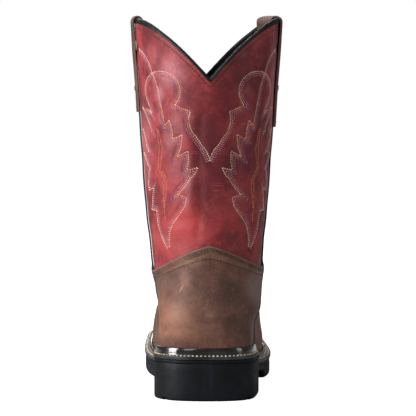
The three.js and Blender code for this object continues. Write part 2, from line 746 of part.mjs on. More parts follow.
// Places of the outsole: the usual ones, and more where its underside steps.
function outsolePlaces() {
  const steps = [heelSeatLength, heelSeatLength + shankBlend / 2, heelSeatLength + shankBlend,
    treadStart, treadStart + treadBlend / 2, treadStart + treadBlend];
  const placed = steps.map((y) => (y - outsoleInset) / (soleLength - 2 * outsoleInset));
  const usual = columns.filter(({ side }) => side > 0).map((column) => columnShare(column, 0));
  const all = [...usual.filter((share) => share > 0.004 && share < 0.996), ...placed];
  all.sort((a, b) => a - b);
  const spaced = all.filter((share, i) => i === 0 || share - all[i - 1] > 0.006);
  const lateral = spaced.map((share) => ({ side: 1, share }));
  const medial = spaced.map((share) => ({ side: -1, share })).reverse();
  return [{ side: 1, share: 0 }, ...lateral, { side: 1, share: 1 }, ...medial];
}

function makeOutsole() {
  const places = outsolePlaces();
  const loops = outsoleSide.map(({ up, inset }) => outlineLoop(
    { heel: outsoleInset + inset * 0.25, toe: outsoleInset + inset },
    (y) => mix(outsoleBottomAt(y), outsoleTopAt(y), up),
    places,
  ));
  return fromManifold(cutTread(toManifold(stackedSlab(loops))));
}

// The heel block: the sole's outline up to the breast, which is hollowed a little.
function makeHeel() {
  const places = outsolePlaces();
  const loop = (inset, heightAt) => outlineLoop(evenly(inset), heightAt, places);
  const whole = toManifold(stackedSlab([
    loop(outsoleInset + 0.8, () => 0),
    loop(outsoleInset + 0.1, () => 1.2),
    loop(outsoleInset, heelTopAt),
  ]));
  const middle = centreAt(heelSeatLength);
  const breast = [];
  for (let i = 0; i <= 8; i += 1) {
    const share = i / 4 - 1;
    breast.push(new THREE.Vector2(
      middle + share * heelWidth / 2,
      heelSeatLength - breastHollow * (1 - share ** 2),
    ));
  }
  const ahead = new THREE.Shape([
    new THREE.Vector2(middle - ballWidth, heelSeatLength),
    ...breast,
    new THREE.Vector2(middle + ballWidth, heelSeatLength),
    new THREE.Vector2(middle + ballWidth, 2 * soleLength),
    new THREE.Vector2(middle - ballWidth, 2 * soleLength),
  ]);
  const block = new THREE.ExtrudeGeometry(ahead, { depth: 3 * heelHeight, bevelEnabled: false });
  block.translate(0, 0, -heelHeight);
  let solid = whole.subtract(toManifold(block));
  const pitch = heelSeatLength / (heelGrooveCount + 1);
  for (let i = 0; i < heelGrooveCount; i += 1) {
    const groove = new THREE.BoxGeometry(2 * heelWidth, grooveWidth, 2 * treadDepth);
    groove.translate(0, pitch * (i + 0.62), 0);
    solid = solid.subtract(toManifold(groove));
  }
  return fromManifold(solid);
}

addPiece('upper', makeUpper(), materials.redLeather);
addPiece('outsole', makeOutsole(), materials.rubber);
addPiece('heel', makeHeel(), materials.rubber);
addPiece('welt', makeWelt(), materials.welt);
addPiece('insole', makeInsole(), materials.insole);
addPiece('counter', makeOverlay(counterRun), materials.brownLeather);
addPiece('vamp', makeOverlay(vampRun), materials.brownLeather);
addPiece('piping_lateral', makePiping(1), materials.blackTrim);
addPiece('piping_medial', makePiping(-1), materials.blackTrim);
addPiece('collar_binding', makeBinding(), materials.blackTrim);
addPiece('pull_strap_lateral', makeStrap(1, strapOuterLateral, strapFlareLateral), materials.brownLeather);
addPiece('pull_strap_medial', makeStrap(-1, strapOuterMedial, strapFlareMedial), materials.brownLeather);

export default boot;
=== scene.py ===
"""A western work boot for the right foot, with stitched red shaft and brown counter and vamp."""

import bpy
import numpy as np
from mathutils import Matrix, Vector, kdtree


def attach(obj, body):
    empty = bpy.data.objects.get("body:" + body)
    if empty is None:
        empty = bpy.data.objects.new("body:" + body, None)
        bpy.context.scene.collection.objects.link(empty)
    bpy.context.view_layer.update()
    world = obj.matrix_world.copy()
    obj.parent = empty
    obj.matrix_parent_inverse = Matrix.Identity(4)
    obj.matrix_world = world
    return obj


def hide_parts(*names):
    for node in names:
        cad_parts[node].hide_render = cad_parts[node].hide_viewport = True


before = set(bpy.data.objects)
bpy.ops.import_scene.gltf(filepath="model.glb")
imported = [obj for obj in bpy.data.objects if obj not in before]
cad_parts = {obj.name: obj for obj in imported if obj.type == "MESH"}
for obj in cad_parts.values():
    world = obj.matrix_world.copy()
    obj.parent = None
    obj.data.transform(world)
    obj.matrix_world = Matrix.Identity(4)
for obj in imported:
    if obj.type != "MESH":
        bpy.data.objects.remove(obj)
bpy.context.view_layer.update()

# The boot's own sizes, in millimetres. y is measured here from the back of the welt.
SOLE_LENGTH = 300.0
BALL_WIDTH = 108.0
HEEL_WIDTH = 83.5
HEEL_SEAT_LENGTH = 80.0
HEEL_ROUNDING = 36.0
TOE_ROUNDING = 30.0
HEEL_POWER = 2.4
TOE_POWER = 3.0
HEEL_CENTRE = 40.0
HEEL_HEIGHT = 30.0
HEEL_LAYER = 2.8
WELT_THICKNESS = 2.5
FOREFOOT_HEIGHT = 17.8
TOE_SPRING = 14.0
SHANK_THICKNESS = 7.0
SHANK_BLEND = 14.0
TREAD_START = 152.0
TREAD_BLEND = 7.0
TREAD_DEPTH = 2.6
TREAD_MARGIN = 16.0
GROOVE_WIDTH = 3.2
GROOVE_COUNT = 9
HEEL_GROOVE_COUNT = 3
CHEVRON_DEPTH = 9.0
BREAST_HOLLOW = 4.0
OUTSOLE_INSET = 0.8
CLEARANCE = 0.3
SOLE_CLEARANCE = 0.4
WALL = 2.4
OVERLAY = 1.6
REACH_HEEL = 4.4
REACH_TOE = 7.9
BEAD_HEEL = 6.6
BEAD_TOE = 4.2
INSOLE_THICKNESS = 3.5
INSOLE_MARGIN = 0.7
COLLAR_HALF = 58.6
COLLAR_PEAK = 301.8
BACK_DIP = 254.2
FRONT_DIP = 252.5
SCALLOP_POWER = 1.45
BINDING_HEIGHT = 2.4
BINDING_PROUD = 0.6
SEAM_COLLAR = 75.0
SEAM_WELT = 64.0
SEAM_LEVEL = 9.0
PIPING_WIDTH = 4.4
PIPING_PROUD = 1.4
STRAP_WIDTH = 23.0
STRAP_THICKNESS = 1.6
STRAP_OUTER = {1: 84.0, -1: 72.0}
STRAP_INNER = 70.0
STRAP_RISE = 4.2
STRAP_FLARE = {1: (2.0, 12.0), -1: (1.0, 1.5)}
COUNTER_TIP = 124.0
VAMP_TIP = 150.0
TOP_LATERAL = 103.0
TOP_MEDIAL = 100.0
TOP_POWER = 1.3

# The sole's outline, as shares of the ball's and the heel's width.
SOLE_AT = np.array([0.0, 0.1, 0.2, 0.27, 0.35, 0.43, 0.5, 0.58, 0.67, 0.75, 0.83, 0.92, 1.0])
SOLE_CENTRE = np.array([
    -0.046, -0.006, 0.024, 0.038, 0.046, 0.045, 0.043, 0.036, 0.022, 0.006, -0.009, -0.028, -0.048])
SOLE_HEEL = np.array([0.5, 0.5, 0.5, 0.478, 0.29, 0.15, 0.06, 0.0, 0.0, 0.0, 0.0, 0.0, 0.0])
SOLE_BALL = np.array([
    0.0, 0.0, 0.0, 0.0, 0.131, 0.262, 0.378, 0.476, 0.5, 0.499, 0.481, 0.448, 0.412])

# Rings of the upper from the welt, level 0, to the collar.
RING_COLUMNS = [
    "back_in", "back_up", "front_in", "front_up", "half", "peak", "front_p", "front_q",
    "back_p", "back_q", "foot", "flare", "sag", "collar", "back_x", "front_x"]
RING_ROWS = np.array([
    [0.0000, 0.000, 0.000, 0.000, 0.71, 0.26, 2.3, 2.2, 2.3, 2.2, 1.00, 0.00, 1.00, 0.00, 0.08, -0.1],
    [-0.006, 0.037, -0.003, 0.031, 0.71, 0.26, 2.3, 2.2, 2.3, 2.2, 1.00, 0.40, 1.00, 0.00, 0.08, -0.1],
    [-0.010, 0.077, 0.000, 0.066, 0.71, 0.26, 2.3, 2.2, 2.3, 2.2, 1.00, 0.50, 0.97, 0.00, 0.08, -0.1],
    [-0.012, 0.113, 0.010, 0.100, 0.77, 0.26, 2.2, 2.1, 2.3, 2.2, 0.93, 0.30, 0.90, 0.00, 0.08, -0.1],
    [-0.011, 0.147, 0.033, 0.131, 0.82, 0.26, 2.1, 1.9, 2.3, 2.2, 0.79, 0.10, 0.80, 0.00, 0.08, -0.07],
    [-0.008, 0.179, 0.077, 0.159, 0.82, 0.26, 2.0, 1.8, 2.3, 2.2, 0.58, 0.05, 0.66, 0.00, 0.08, -0.05],
    [-0.004, 0.211, 0.140, 0.188, 0.76, 0.28, 1.8, 1.6, 2.3, 2.2, 0.36, 0.00, 0.50, 0.00, 0.08, -0.04],
    [0.001, 0.242, 0.218, 0.218, 0.73, 0.30, 1.75, 1.6, 2.3, 2.2, 0.17, 0.00, 0.36, 0.00, 0.075, -0.035],
    [0.006, 0.274, 0.302, 0.253, 0.72, 0.33, 1.7, 1.6, 2.2, 2.1, 0.06, 0.00, 0.24, 0.00, 0.078, -0.03],
    [0.010, 0.306, 0.377, 0.295, 0.734, 0.37, 1.7, 1.6, 2.2, 2.1, 0.00, 0.00, 0.14, 0.00, 0.073, -0.03],
    [0.013, 0.339, 0.440, 0.343, 0.752, 0.41, 1.85, 1.75, 2.1, 2.0, 0.00, 0.00, 0.07, 0.00, 0.064, -0.03],
    [0.016, 0.376, 0.488, 0.395, 0.765, 0.45, 1.95, 1.85, 2.1, 2.0, 0.00, 0.00, 0.02, 0.00, 0.064, -0.03],
    [0.018, 0.416, 0.521, 0.452, 0.78, 0.48, 2.05, 1.95, 2.1, 2.0, 0.00, 0.00, 0.00, 0.00, 0.064, -0.03],
    [0.019, 0.466, 0.542, 0.515, 0.809, 0.50, 2.1, 2.0, 2.1, 2.0, 0.00, 0.00, 0.00, 0.00, 0.064, -0.03],
    [0.018, 0.529, 0.553, 0.587, 0.831, 0.50, 2.1, 2.0, 2.1, 2.0, 0.00, 0.00, 0.00, 0.00, 0.064, -0.03],
    [0.015, 0.611, 0.556, 0.668, 0.859, 0.50, 2.1, 2.0, 2.1, 2.0, 0.00, 0.00, 0.00, 0.00, 0.064, -0.03],
    [0.011, 0.701, 0.552, 0.751, 0.876, 0.50, 2.1, 2.0, 2.1, 2.0, 0.00, 0.00, 0.00, 0.00, 0.064, -0.03],
    [0.007, 0.796, 0.544, 0.834, 0.903, 0.50, 2.1, 2.0, 2.1, 2.0, 0.00, 0.00, 0.00, 0.00, 0.064, -0.03],
    [0.004, 0.858, 0.538, 0.889, 0.937, 0.50, 2.1, 2.0, 2.1, 2.0, 0.00, 0.00, 0.00, 0.30, 0.064, -0.03],
    [0.001, 0.920, 0.532, 0.943, 0.978, 0.50, 2.1, 2.0, 2.1, 2.0, 0.00, 0.00, 0.00, 0.65, 0.064, -0.03],
    [-0.002, 1.000, 0.527, 1.000, 1.000, 0.50, 2.1, 2.0, 2.1, 2.0, 0.00, 0.00, 0.00, 1.00, 0.064, -0.03],
])
TOP_RING = len(RING_ROWS) - 1.0


def mix(start, end, share):
    return start + (end - start) * share


def unit(vectors):
    """The same vectors, one long."""
    return vectors / np.linalg.norm(vectors, axis=-1, keepdims=True)


def ease(share):
    share = np.clip(share, 0.0, 1.0)
    return share * share * (3.0 - 2.0 * share)


def through(values, place):
    """A smooth curve through evenly numbered values, read at any place between them."""
    place = np.asarray(place, dtype=float)
    last = len(values) - 1
    i = np.clip(np.floor(place).astype(int), 0, last - 1)
    t = place - i
    start = values[i]
    end = values[i + 1]
    enter = (end - values[np.clip(i - 1, 0, last)]) / 2
    leave = (values[np.clip(i + 2, 0, last)] - start) / 2
    square = t * t
    cube = square * t
    return (start * (2 * cube - 3 * square + 1) + enter * (cube - 2 * square + t)
            + end * (3 * square - 2 * cube) + leave * (cube - square))


# Heights and widths along the sole.
def along_sole(values, at):
    at = np.asarray(at, dtype=float)
    i = np.clip(np.searchsorted(SOLE_AT, at, side="right") - 1, 0, len(SOLE_AT) - 2)
    t = np.clip((at - SOLE_AT[i]) / (SOLE_AT[i + 1] - SOLE_AT[i]), 0, 1)
    return through(values, i + t)


def spring_at(y):
    return TOE_SPRING * (np.maximum(0, y / SOLE_LENGTH - 0.6) / 0.4) ** 2


SEAT = HEEL_HEIGHT + CLEARANCE + HEEL_LAYER + SOLE_CLEARANCE + WELT_THICKNESS


def welt_top(y):
    return mix(SEAT, FOREFOOT_HEIGHT, ease((y / SOLE_LENGTH - 0.09) / 0.41)) + spring_at(y)


def feather(y):
    return welt_top(y) - WELT_THICKNESS


def outsole_top(y):
    return feather(y) - SOLE_CLEARANCE


def heel_top(y):
    return outsole_top(y) - HEEL_LAYER - CLEARANCE


def bead_height(y):
    return mix(BEAD_HEEL, BEAD_TOE, ease((y / SOLE_LENGTH - 0.25) / 0.25))


def outsole_bottom(y):
    thickness = mix(HEEL_LAYER, SHANK_THICKNESS, ease((y - HEEL_SEAT_LENGTH) / SHANK_BLEND))
    land = ease((y - TREAD_START) / TREAD_BLEND)
    return mix(outsole_top(y) - thickness, spring_at(y), land)


def centre_at(y):
    return along_sole(SOLE_CENTRE, np.clip(np.asarray(y) / SOLE_LENGTH, 0, 1)) * BALL_WIDTH


def heading_at(y):
    return (centre_at(y + 4) - centre_at(y - 4)) / 8


def outline_half(share, heel, toe):
    inset = mix(heel, toe, ease(share / 0.45))
    y = mix(heel, SOLE_LENGTH - toe, share)
    at = y / SOLE_LENGTH
    half = along_sole(SOLE_HEEL, at) * HEEL_WIDTH + along_sole(SOLE_BALL, at) * BALL_WIDTH - inset
    from_heel = np.clip(1 - (y - heel) / (HEEL_ROUNDING - heel), 0, 1)
    from_toe = np.clip(1 - (SOLE_LENGTH - toe - y) / (TOE_ROUNDING - toe), 0, 1)
    return (half * (1 - from_heel ** HEEL_POWER) ** (1 / HEEL_POWER)
            * (1 - from_toe ** TOE_POWER) ** (1 / TOE_POWER))


def outline_point(share, side, heel, toe):
    """A point of the sole's outline, taken in by a margin at the heel and another at the toe."""
    y = mix(heel, SOLE_LENGTH - toe, share)
    half = outline_half(share, heel, toe)
    return centre_at(y) + side * half, y - side * half * heading_at(y)


# The upper's outer face. The turn is 0 at the back, 1 at the lateral seam, 2 at the front and 3 at
# the medial seam. The level is a place among the rings.
MARGIN_HEEL = REACH_HEEL + OVERLAY + 2 * CLEARANCE
MARGIN_TOE = REACH_TOE + OVERLAY + 2 * CLEARANCE
UPPER_BACK = MARGIN_HEEL
UPPER_FRONT = SOLE_LENGTH - MARGIN_TOE
UPPER_LENGTH = UPPER_FRONT - UPPER_BACK
HEEL_FEATHER = feather(UPPER_BACK)
TOE_FEATHER = feather(UPPER_FRONT)


def ring(level):
    return {name: through(RING_ROWS[:, i], level) for i, name in enumerate(RING_COLUMNS)}


def round_end(away, p, q):
    return np.maximum(0, 1 - np.clip(away, 0, 1) ** p) ** (1 / q)


def ring_ends(r):
    back_y = UPPER_BACK + r["back_in"] * UPPER_LENGTH
    front_y = UPPER_FRONT - r["front_in"] * UPPER_LENGTH
    back_z = HEEL_FEATHER + r["back_up"] * (BACK_DIP - HEEL_FEATHER)
    front_z = TOE_FEATHER + r["front_up"] * (FRONT_DIP - TOE_FEATHER)
    return back_y, front_y, back_z, front_z


def side_point(share, side, level):
    """A point at a share of the way from the back to the front, on one side of the upper."""
    r = ring(level)
    back_y, front_y, back_z, front_z = ring_ends(r)
    behind = share < r["peak"]
    away = np.where(behind, (r["peak"] - share) / r["peak"], (share - r["peak"]) / (1 - r["peak"]))
    leg_share = np.where(behind, round_end(away, r["back_p"], r["back_q"]),
                         round_end(away, r["front_p"], r["front_q"]))
    leg_half = r["half"] * COLLAR_HALF * leg_share
    foot_half = outline_half(share, MARGIN_HEEL - r["flare"] * WALL, MARGIN_TOE - r["flare"] * WALL)
    half = mix(leg_half, foot_half, r["foot"])
    y = mix(back_y, front_y, share)
    foot_y = mix(UPPER_BACK, UPPER_FRONT, share)
    leg_x = mix(r["back_x"], r["front_x"], share) * COLLAR_HALF
    x = mix(leg_x, centre_at(foot_y), r["foot"]) + side * half
    turned_y = y - side * half * heading_at(foot_y) * r["foot"]
    chord = mix(HEEL_FEATHER, TOE_FEATHER, (y - UPPER_BACK) / UPPER_LENGTH)
    flat = mix(back_z, front_z, share) + r["sag"] * (feather(turned_y) - chord)
    dip = np.where(behind, BACK_DIP, FRONT_DIP)
    scallop = mix(dip, COLLAR_PEAK, 1 - (1 - np.clip(leg_share, 0, 1)) ** SCALLOP_POWER)
    return np.stack([x, turned_y, mix(flat, scallop, r["collar"])], axis=-1)


def seam_y(level):
    return mix(SEAM_WELT, SEAM_COLLAR, ease(level / SEAM_LEVEL))


def share_of_y(y, level):
    back_y, front_y, _, _ = ring_ends(ring(level))
    return (y - back_y) / (front_y - back_y)


def turn_share(turn, level):
    """The side and the share that a turn stands for."""
    turn = np.asarray(turn, float) % 4
    side = np.where(turn <= 2, 1.0, -1.0)
    ahead = np.where(turn <= 2, turn, 4 - turn)
    seam = share_of_y(seam_y(level), level)
    behind = seam * (1 - np.cos(np.pi / 2 * np.minimum(ahead, 1)))
    before = 1 - (1 - seam) * (1 - np.cos(np.pi / 2 * np.clip(2 - ahead, 0, 1)))
    return side, np.clip(np.where(ahead <= 1, behind, before), 0, 1)


def around(turn, level):
    turn, level = np.broadcast_arrays(np.asarray(turn, float), np.asarray(level, float))
    side, share = turn_share(turn, level)
    return side_point(share, side, level)


def normal_at(turn, level):
    turn, level = np.broadcast_arrays(np.asarray(turn, float), np.asarray(level, float))
    along = around(turn + 0.01, level) - around(turn - 0.01, level)
    high = around(turn, np.clip(level + 0.05, 0, TOP_RING))
    low = around(turn, np.clip(level - 0.05, 0, TOP_RING))
    return unit(np.cross(along, high - low))


def proud(turn, level, out):
    """A point that stands out from the upper's outer face, in millimetres."""
    return around(turn, level) + normal_at(turn, level) * np.asarray(out, float)[..., None]


def turn_of_y(y, side, level):
    """The turn at which the upper passes a place y on one side."""
    share = np.clip(share_of_y(y, level), 0, 1)
    seam = share_of_y(seam_y(level), level)
    behind = 2 / np.pi * np.arccos(1 - np.minimum(share / seam, 1))
    before = 2 - 2 / np.pi * np.arccos(1 - np.minimum((1 - share) / (1 - seam), 1))
    turn = np.where(share <= seam, behind, before)
    return turn if side > 0 else 4 - turn


def level_at(turn_of, height):
    """The level at which the upper reaches a height, where turn_of gives the turn at a level."""
    low = np.zeros_like(np.asarray(height, float))
    high = np.full_like(low, TOP_RING)
    for _ in range(26):
        middle = (low + high) / 2
        below = around(turn_of(middle), middle)[..., 2] < height
        low = np.where(below, middle, low)
        high = np.where(below, high, middle)
    return low


SEAM_EDGE = PIPING_WIDTH / 2 + CLEARANCE


def panel_turn(t, level, front, edge=0.0):
    """The turn of a panel's column t, from -1 at its medial edge to 1 at its lateral one."""
    back_y, front_y, _, _ = ring_ends(ring(level))
    seam = share_of_y(seam_y(level), level)
    whole = 1 - seam if front else seam
    reach = (whole - edge / (front_y - back_y)) / whole
    span = 2 / np.pi * np.arccos(1 - reach)
    return 2 - t * span if front else t * span


def top_line(t, front):
    """The height of the counter's or the vamp's top line on a column."""
    t = np.asarray(t, float)
    tip = VAMP_TIP if front else COUNTER_TIP
    end = np.where(t > 0, TOP_LATERAL, TOP_MEDIAL)
    guess = level_at(lambda level: panel_turn(t, level, front, SEAM_EDGE), (tip + end) / 2)
    x = around(panel_turn(t, guess, front, SEAM_EDGE), guess)[..., 0]
    middle = around(2.0 if front else 0.0, guess)[..., 0]
    seam = around(np.where(t > 0, 1.0, 3.0), guess)[..., 0]
    out = np.clip((x - middle) / (seam - middle), 0, 1)
    return mix(tip, end, out ** TOP_POWER)


ORIGIN = np.array([float(centre_at(HEEL_CENTRE)), HEEL_CENTRE, 0.0])


def to_frame(points):
    """From millimetres behind the welt to the part's metres."""
    return (np.asarray(points).reshape(-1, 3) - ORIGIN) / 1000.0


# Meshes.
def grid_faces(columns, rows, wrap=False):
    """Quads of a grid whose points are numbered column by column, facing out of the upper."""
    i, j = np.meshgrid(np.arange(columns if wrap else columns - 1), np.arange(rows - 1), indexing="ij")
    following = (i + 1) % columns
    quads = [i * rows + j, following * rows + j, following * rows + j + 1, i * rows + j + 1]
    return np.stack(quads, axis=-1).reshape(-1, 4)


def make_piece(name, points, faces, material, replaces=(), attributes=None, sharp=45.0):
    """A smooth-shaded mesh of the boot, from points in millimetres."""
    mesh = bpy.data.meshes.new(name)
    listed = faces.tolist() if isinstance(faces, np.ndarray) else faces
    mesh.from_pydata(to_frame(points).tolist(), [], listed)
    for title, values in (attributes or {}).items():
        layer = mesh.attributes.new(title, "FLOAT", "POINT")
        layer.data.foreach_set("value", np.asarray(values, dtype=np.float32).ravel())
    mesh.shade_smooth()
    mesh.set_sharp_from_angle(angle=np.radians(sharp))
    piece = bpy.data.objects.new(name, mesh)
    bpy.context.scene.collection.objects.link(piece)
    for one in (material if isinstance(material, list) else [material]):
        mesh.materials.append(one)
    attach(piece, "root")
    if replaces:
        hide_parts(*replaces)
    return piece


def cut_away(piece, name, points, faces):
    """Cuts a block out of a piece, block and piece both in the boot's millimetres."""
    mesh = bpy.data.meshes.new(name)
    mesh.from_pydata(to_frame(points).tolist(), [], faces)
    block = bpy.data.objects.new(name, mesh)
    bpy.context.scene.collection.objects.link(block)
    cut = piece.modifiers.new("cut", "BOOLEAN")
    cut.operation = "DIFFERENCE"
    cut.solver = "EXACT"
    cut.object = block
    evaluated = piece.evaluated_get(bpy.context.evaluated_depsgraph_get())
    result = bpy.data.meshes.new_from_object(evaluated)
    piece.modifiers.clear()
    piece.data = result
    result.set_sharp_from_angle(angle=np.radians(35))
    bpy.data.objects.remove(block)


# Materials.
class Shader:
    """A material built from nodes round one Principled shader."""

    def __init__(self, name, **surface):
        self.material = bpy.data.materials.new(name)
        self.material.use_nodes = True
        self.tree = self.material.node_tree
        self.tree.nodes.clear()
        output = self.tree.nodes.new("ShaderNodeOutputMaterial")
        self.surface = self.tree.nodes.new("ShaderNodeBsdfPrincipled")
        self.tree.links.new(self.surface.outputs[0], output.inputs[0])
        self.place = self.tree.nodes.new("ShaderNodeTexCoord").outputs["Object"]
        for title, value in surface.items():
            self.surface.inputs[title.replace("_", " ")].default_value = value

    def feed(self, socket, value):
        if isinstance(value, bpy.types.NodeSocket):
            self.tree.links.new(value, socket)
        else:
            socket.default_value = value

    def node(self, kind, **values):
        """A node whose named inputs are fed with sockets or values."""
        made = self.tree.nodes.new("ShaderNode" + kind)
        for title, value in values.items():
            self.feed(made.inputs[title.replace("_", " ")], value)
        return made

    def stretched(self, scale):
        """The place in the boot, scaled along its own axes."""
        return self.node("Mapping", Vector=self.place, Scale=scale).outputs[0]

    def noise(self, scale, detail=4.0, roughness=0.55, place=None, distortion=0.0):
        made = self.node("TexNoise", Vector=place or self.place, Scale=scale, Detail=detail,
                         Roughness=roughness, Distortion=distortion)
        return made.outputs["Fac"]

    def cells(self, scale):
        """How far a place is from the edge of its cell."""
        made = self.node("TexVoronoi", Vector=self.place, Scale=scale)
        made.feature = "DISTANCE_TO_EDGE"
        return made.outputs["Distance"]

    def attribute(self, title):
        made = self.node("Attribute")
        made.attribute_name = title
        return made.outputs["Fac"]

    def math(self, operation, a, b=0.0):
        made = self.node("Math")
        made.operation = operation
        self.feed(made.inputs[0], a)
        self.feed(made.inputs[1], b)
        return made.outputs[0]

    def ramp(self, value, low, high, start=0.0, end=1.0):
        """Maps a value from low and high to start and end, softly."""
        made = self.node("MapRange", Value=value, From_Min=low, From_Max=high, To_Min=start, To_Max=end)
        made.interpolation_type = "SMOOTHSTEP"
        return made.outputs["Result"]

    def blend(self, share, a, b):
        made = self.node("Mix")
        made.data_type = "RGBA"
        self.feed(made.inputs[0], share)
        for socket, value in ((made.inputs[6], a), (made.inputs[7], b)):
            self.feed(socket, value if isinstance(value, bpy.types.NodeSocket) else (*value, 1.0))
        return made.outputs[2]

    def layer(self, under, value, low, high, most, colour):
        """A colour laid over another where a value rises from low to high, at most this strong."""
        return self.blend(self.ramp(value, low, high, 0.0, most), under, colour)

    def zone(self, under, title, amount, scale, colour):
        """A colour laid over another in a named zone, whose edge is broken up."""
        return self.blend(softened(self, title, amount, scale), under, colour)

    def colour(self, value):
        self.feed(self.surface.inputs["Base Color"], value)

    def rough(self, value):
        self.feed(self.surface.inputs["Roughness"], value)

    def bump(self, *layers):
        """Bump from several heights, each with its own depth in metres."""
        normal = None
        for height, depth in layers:
            made = self.node("Bump", Strength=1.0, Distance=depth, Height=height)
            if normal is not None:
                self.feed(made.inputs["Normal"], normal)
            normal = made.outputs[0]
        self.feed(self.surface.inputs["Normal"], normal)


def tone(red, green, blue):
    """A colour read from 0 to 255, as light."""
    value = np.array([red, green, blue]) / 255.0
    light = np.where(value <= 0.04045, value / 12.92, ((value + 0.055) / 1.055) ** 2.4)
    return tuple(float(channel) for channel in light)


def softened(shader, title, amount=0.5, scale=60.0):
    """A zone's weight, broken up by noise so that it has no drawn edge."""
    cloud = shader.noise(scale, 6.0, 0.65)
    spread = shader.math("MULTIPLY", shader.math("SUBTRACT", cloud, 0.5), amount)
    return shader.ramp(shader.math("ADD", shader.attribute(title), spread), 0.08, 0.92)


def grain_bump(shader, cell, fine, depth=0.00009):
    """Leather's pebbled grain with fine creases."""
    pebbles = shader.ramp(shader.cells(cell), 0.0, 0.22)
    creases = shader.noise(fine, 6.0, 0.7)
    return (pebbles, depth), (creases, depth * 1.6)


def red_leather():
    """Burnished, waxed red leather with mottled tone. Its maroon darks are partly the leather's tone and
    partly painted shade, its bright red patches partly painted light, and its pinkish pale patches a painted
    sheen.
    """
    shader = Shader("red_leather", Specular_IOR_Level=0.38, Coat_Weight=0.06, Coat_Roughness=0.35)
    cloud = shader.noise(34.0, 7.0, 0.62, distortion=0.4)
    main = shader.blend(shader.ramp(cloud, 0.38, 0.62), tone(118, 32, 38), tone(172, 60, 64))
    speck = shader.noise(420.0, 5.0, 0.7)
    main = shader.layer(main, speck, 0.5, 0.72, 0.4, tone(88, 22, 28))
    blotch = shader.noise(130.0, 6.0, 0.68, distortion=0.8)
    main = shader.layer(main, blotch, 0.52, 0.7, 0.5, tone(96, 22, 30))
    main = shader.layer(main, blotch, 0.46, 0.32, 0.45, tone(188, 82, 84))
    streak = shader.noise(1.0, 5.0, 0.6, shader.stretched((150.0, 150.0, 28.0)))
    main = shader.layer(main, streak, 0.55, 0.8, 0.35, tone(176, 80, 82))
    # Painted light, partly the leather's redder tone: the bright zones lighten the left and the lower shaft.
    main = shader.zone(main, "bright", 0.8, 90.0, tone(186, 62, 62))
    # Painted shade, partly the leather's maroon tone: the dark zones darken the middle and the right side.
    main = shader.zone(main, "dark", 0.9, 80.0, tone(100, 22, 32))
    # Painted sheen: pinkish pale highlights on the upper left, inside the stitched loops and along both side
    # edges.
    painted_sheen = shader.blend(shader.ramp(speck, 0.3, 0.7), tone(182, 98, 106), tone(204, 128, 134))
    main = shader.zone(main, "pale", 0.55, 90.0, painted_sheen)
    scratch = shader.noise(1.0, 3.0, 0.5, shader.stretched((60.0, 60.0, 900.0)))
    fade = shader.ramp(shader.noise(45.0, 3.0), 0.52, 0.66)
    marks = shader.math("MULTIPLY", shader.ramp(scratch, 0.63, 0.7), fade)
    main = shader.blend(shader.math("MULTIPLY", marks, 0.4), main, tone(206, 110, 106))
    shader.colour(main)
    shader.rough(shader.ramp(shader.noise(70.0, 5.0), 0.3, 0.7, 0.42, 0.62))
    shader.bump(*grain_bump(shader, 620.0, 260.0), (shader.noise(90.0, 4.0, 0.5), 0.0005))
    return shader.material


def brown_leather():
    """Oiled brown leather with mottled tone. Its tan patches are partly painted light, its dark patches
    partly painted shade and its greyish pale patches a painted sheen; its folded edges are grey-brown, partly
    a painted highlight on the rounded lip.
    """
    shader = Shader("brown_leather", Specular_IOR_Level=0.42, Coat_Weight=0.05, Coat_Roughness=0.4)
    cloud = shader.noise(26.0, 7.0, 0.6, distortion=0.5)
    main = shader.blend(shader.ramp(cloud, 0.34, 0.68), tone(94, 58, 47), tone(134, 90, 72))
    fibres = shader.noise(1.0, 6.0, 0.65, shader.stretched((260.0, 260.0, 70.0)))
    main = shader.layer(main, fibres, 0.45, 0.75, 0.4, tone(76, 47, 38))
    # Tan where the bright weights lie; on the counter's lower left this is partly painted light.
    main = shader.zone(main, "bright", 0.75, 80.0, tone(164, 112, 88))
    # Darker where the dark weights lie; on the counter's right and just under the strap loops this is partly
    # painted shade.
    main = shader.zone(main, "dark", 0.6, 50.0, tone(70, 46, 38))
    # Painted sheen: greyish pale near the counter's sides and on the strap loops' crowns.
    main = shader.zone(main, "pale", 0.4, 70.0, tone(132, 112, 108))
    speck = shader.noise(520.0, 4.0, 0.7)
    main = shader.layer(main, speck, 0.56, 0.78, 0.35, tone(168, 122, 98))
    blotch = shader.noise(150.0, 6.0, 0.7, distortion=0.6)
    main = shader.layer(main, blotch, 0.5, 0.72, 0.45, tone(74, 46, 38))
    main = shader.layer(main, blotch, 0.46, 0.3, 0.4, tone(160, 116, 94))
    # Grey-brown of the folded edges, partly a painted highlight on the rounded lip and the strap's rounded
    # sides.
    main = shader.blend(shader.attribute("edge"), main, tone(126, 100, 84))
    main = shader.blend(shader.attribute("scuff"), main, tone(186, 138, 104))
    shader.colour(main)
    shader.rough(shader.ramp(shader.noise(60.0, 5.0), 0.3, 0.7, 0.46, 0.66))
    shader.bump(*grain_bump(shader, 700.0, 300.0, 0.0001), (shader.noise(110.0, 4.0, 0.5), 0.0004))
    return shader.material


def black_leather():
    """Black binding and piping leather with a fine grain."""
    shader = Shader("black_leather", Specular_IOR_Level=0.35)
    cloud = shader.noise(120.0, 5.0)
    shader.colour(shader.blend(shader.ramp(cloud, 0.35, 0.7), tone(8, 8, 9), tone(22, 24, 27)))
    shader.rough(shader.ramp(shader.noise(200.0, 4.0), 0.3, 0.7, 0.38, 0.6))
    shader.bump(*grain_bump(shader, 900.0, 500.0, 0.00006))
    return shader.material


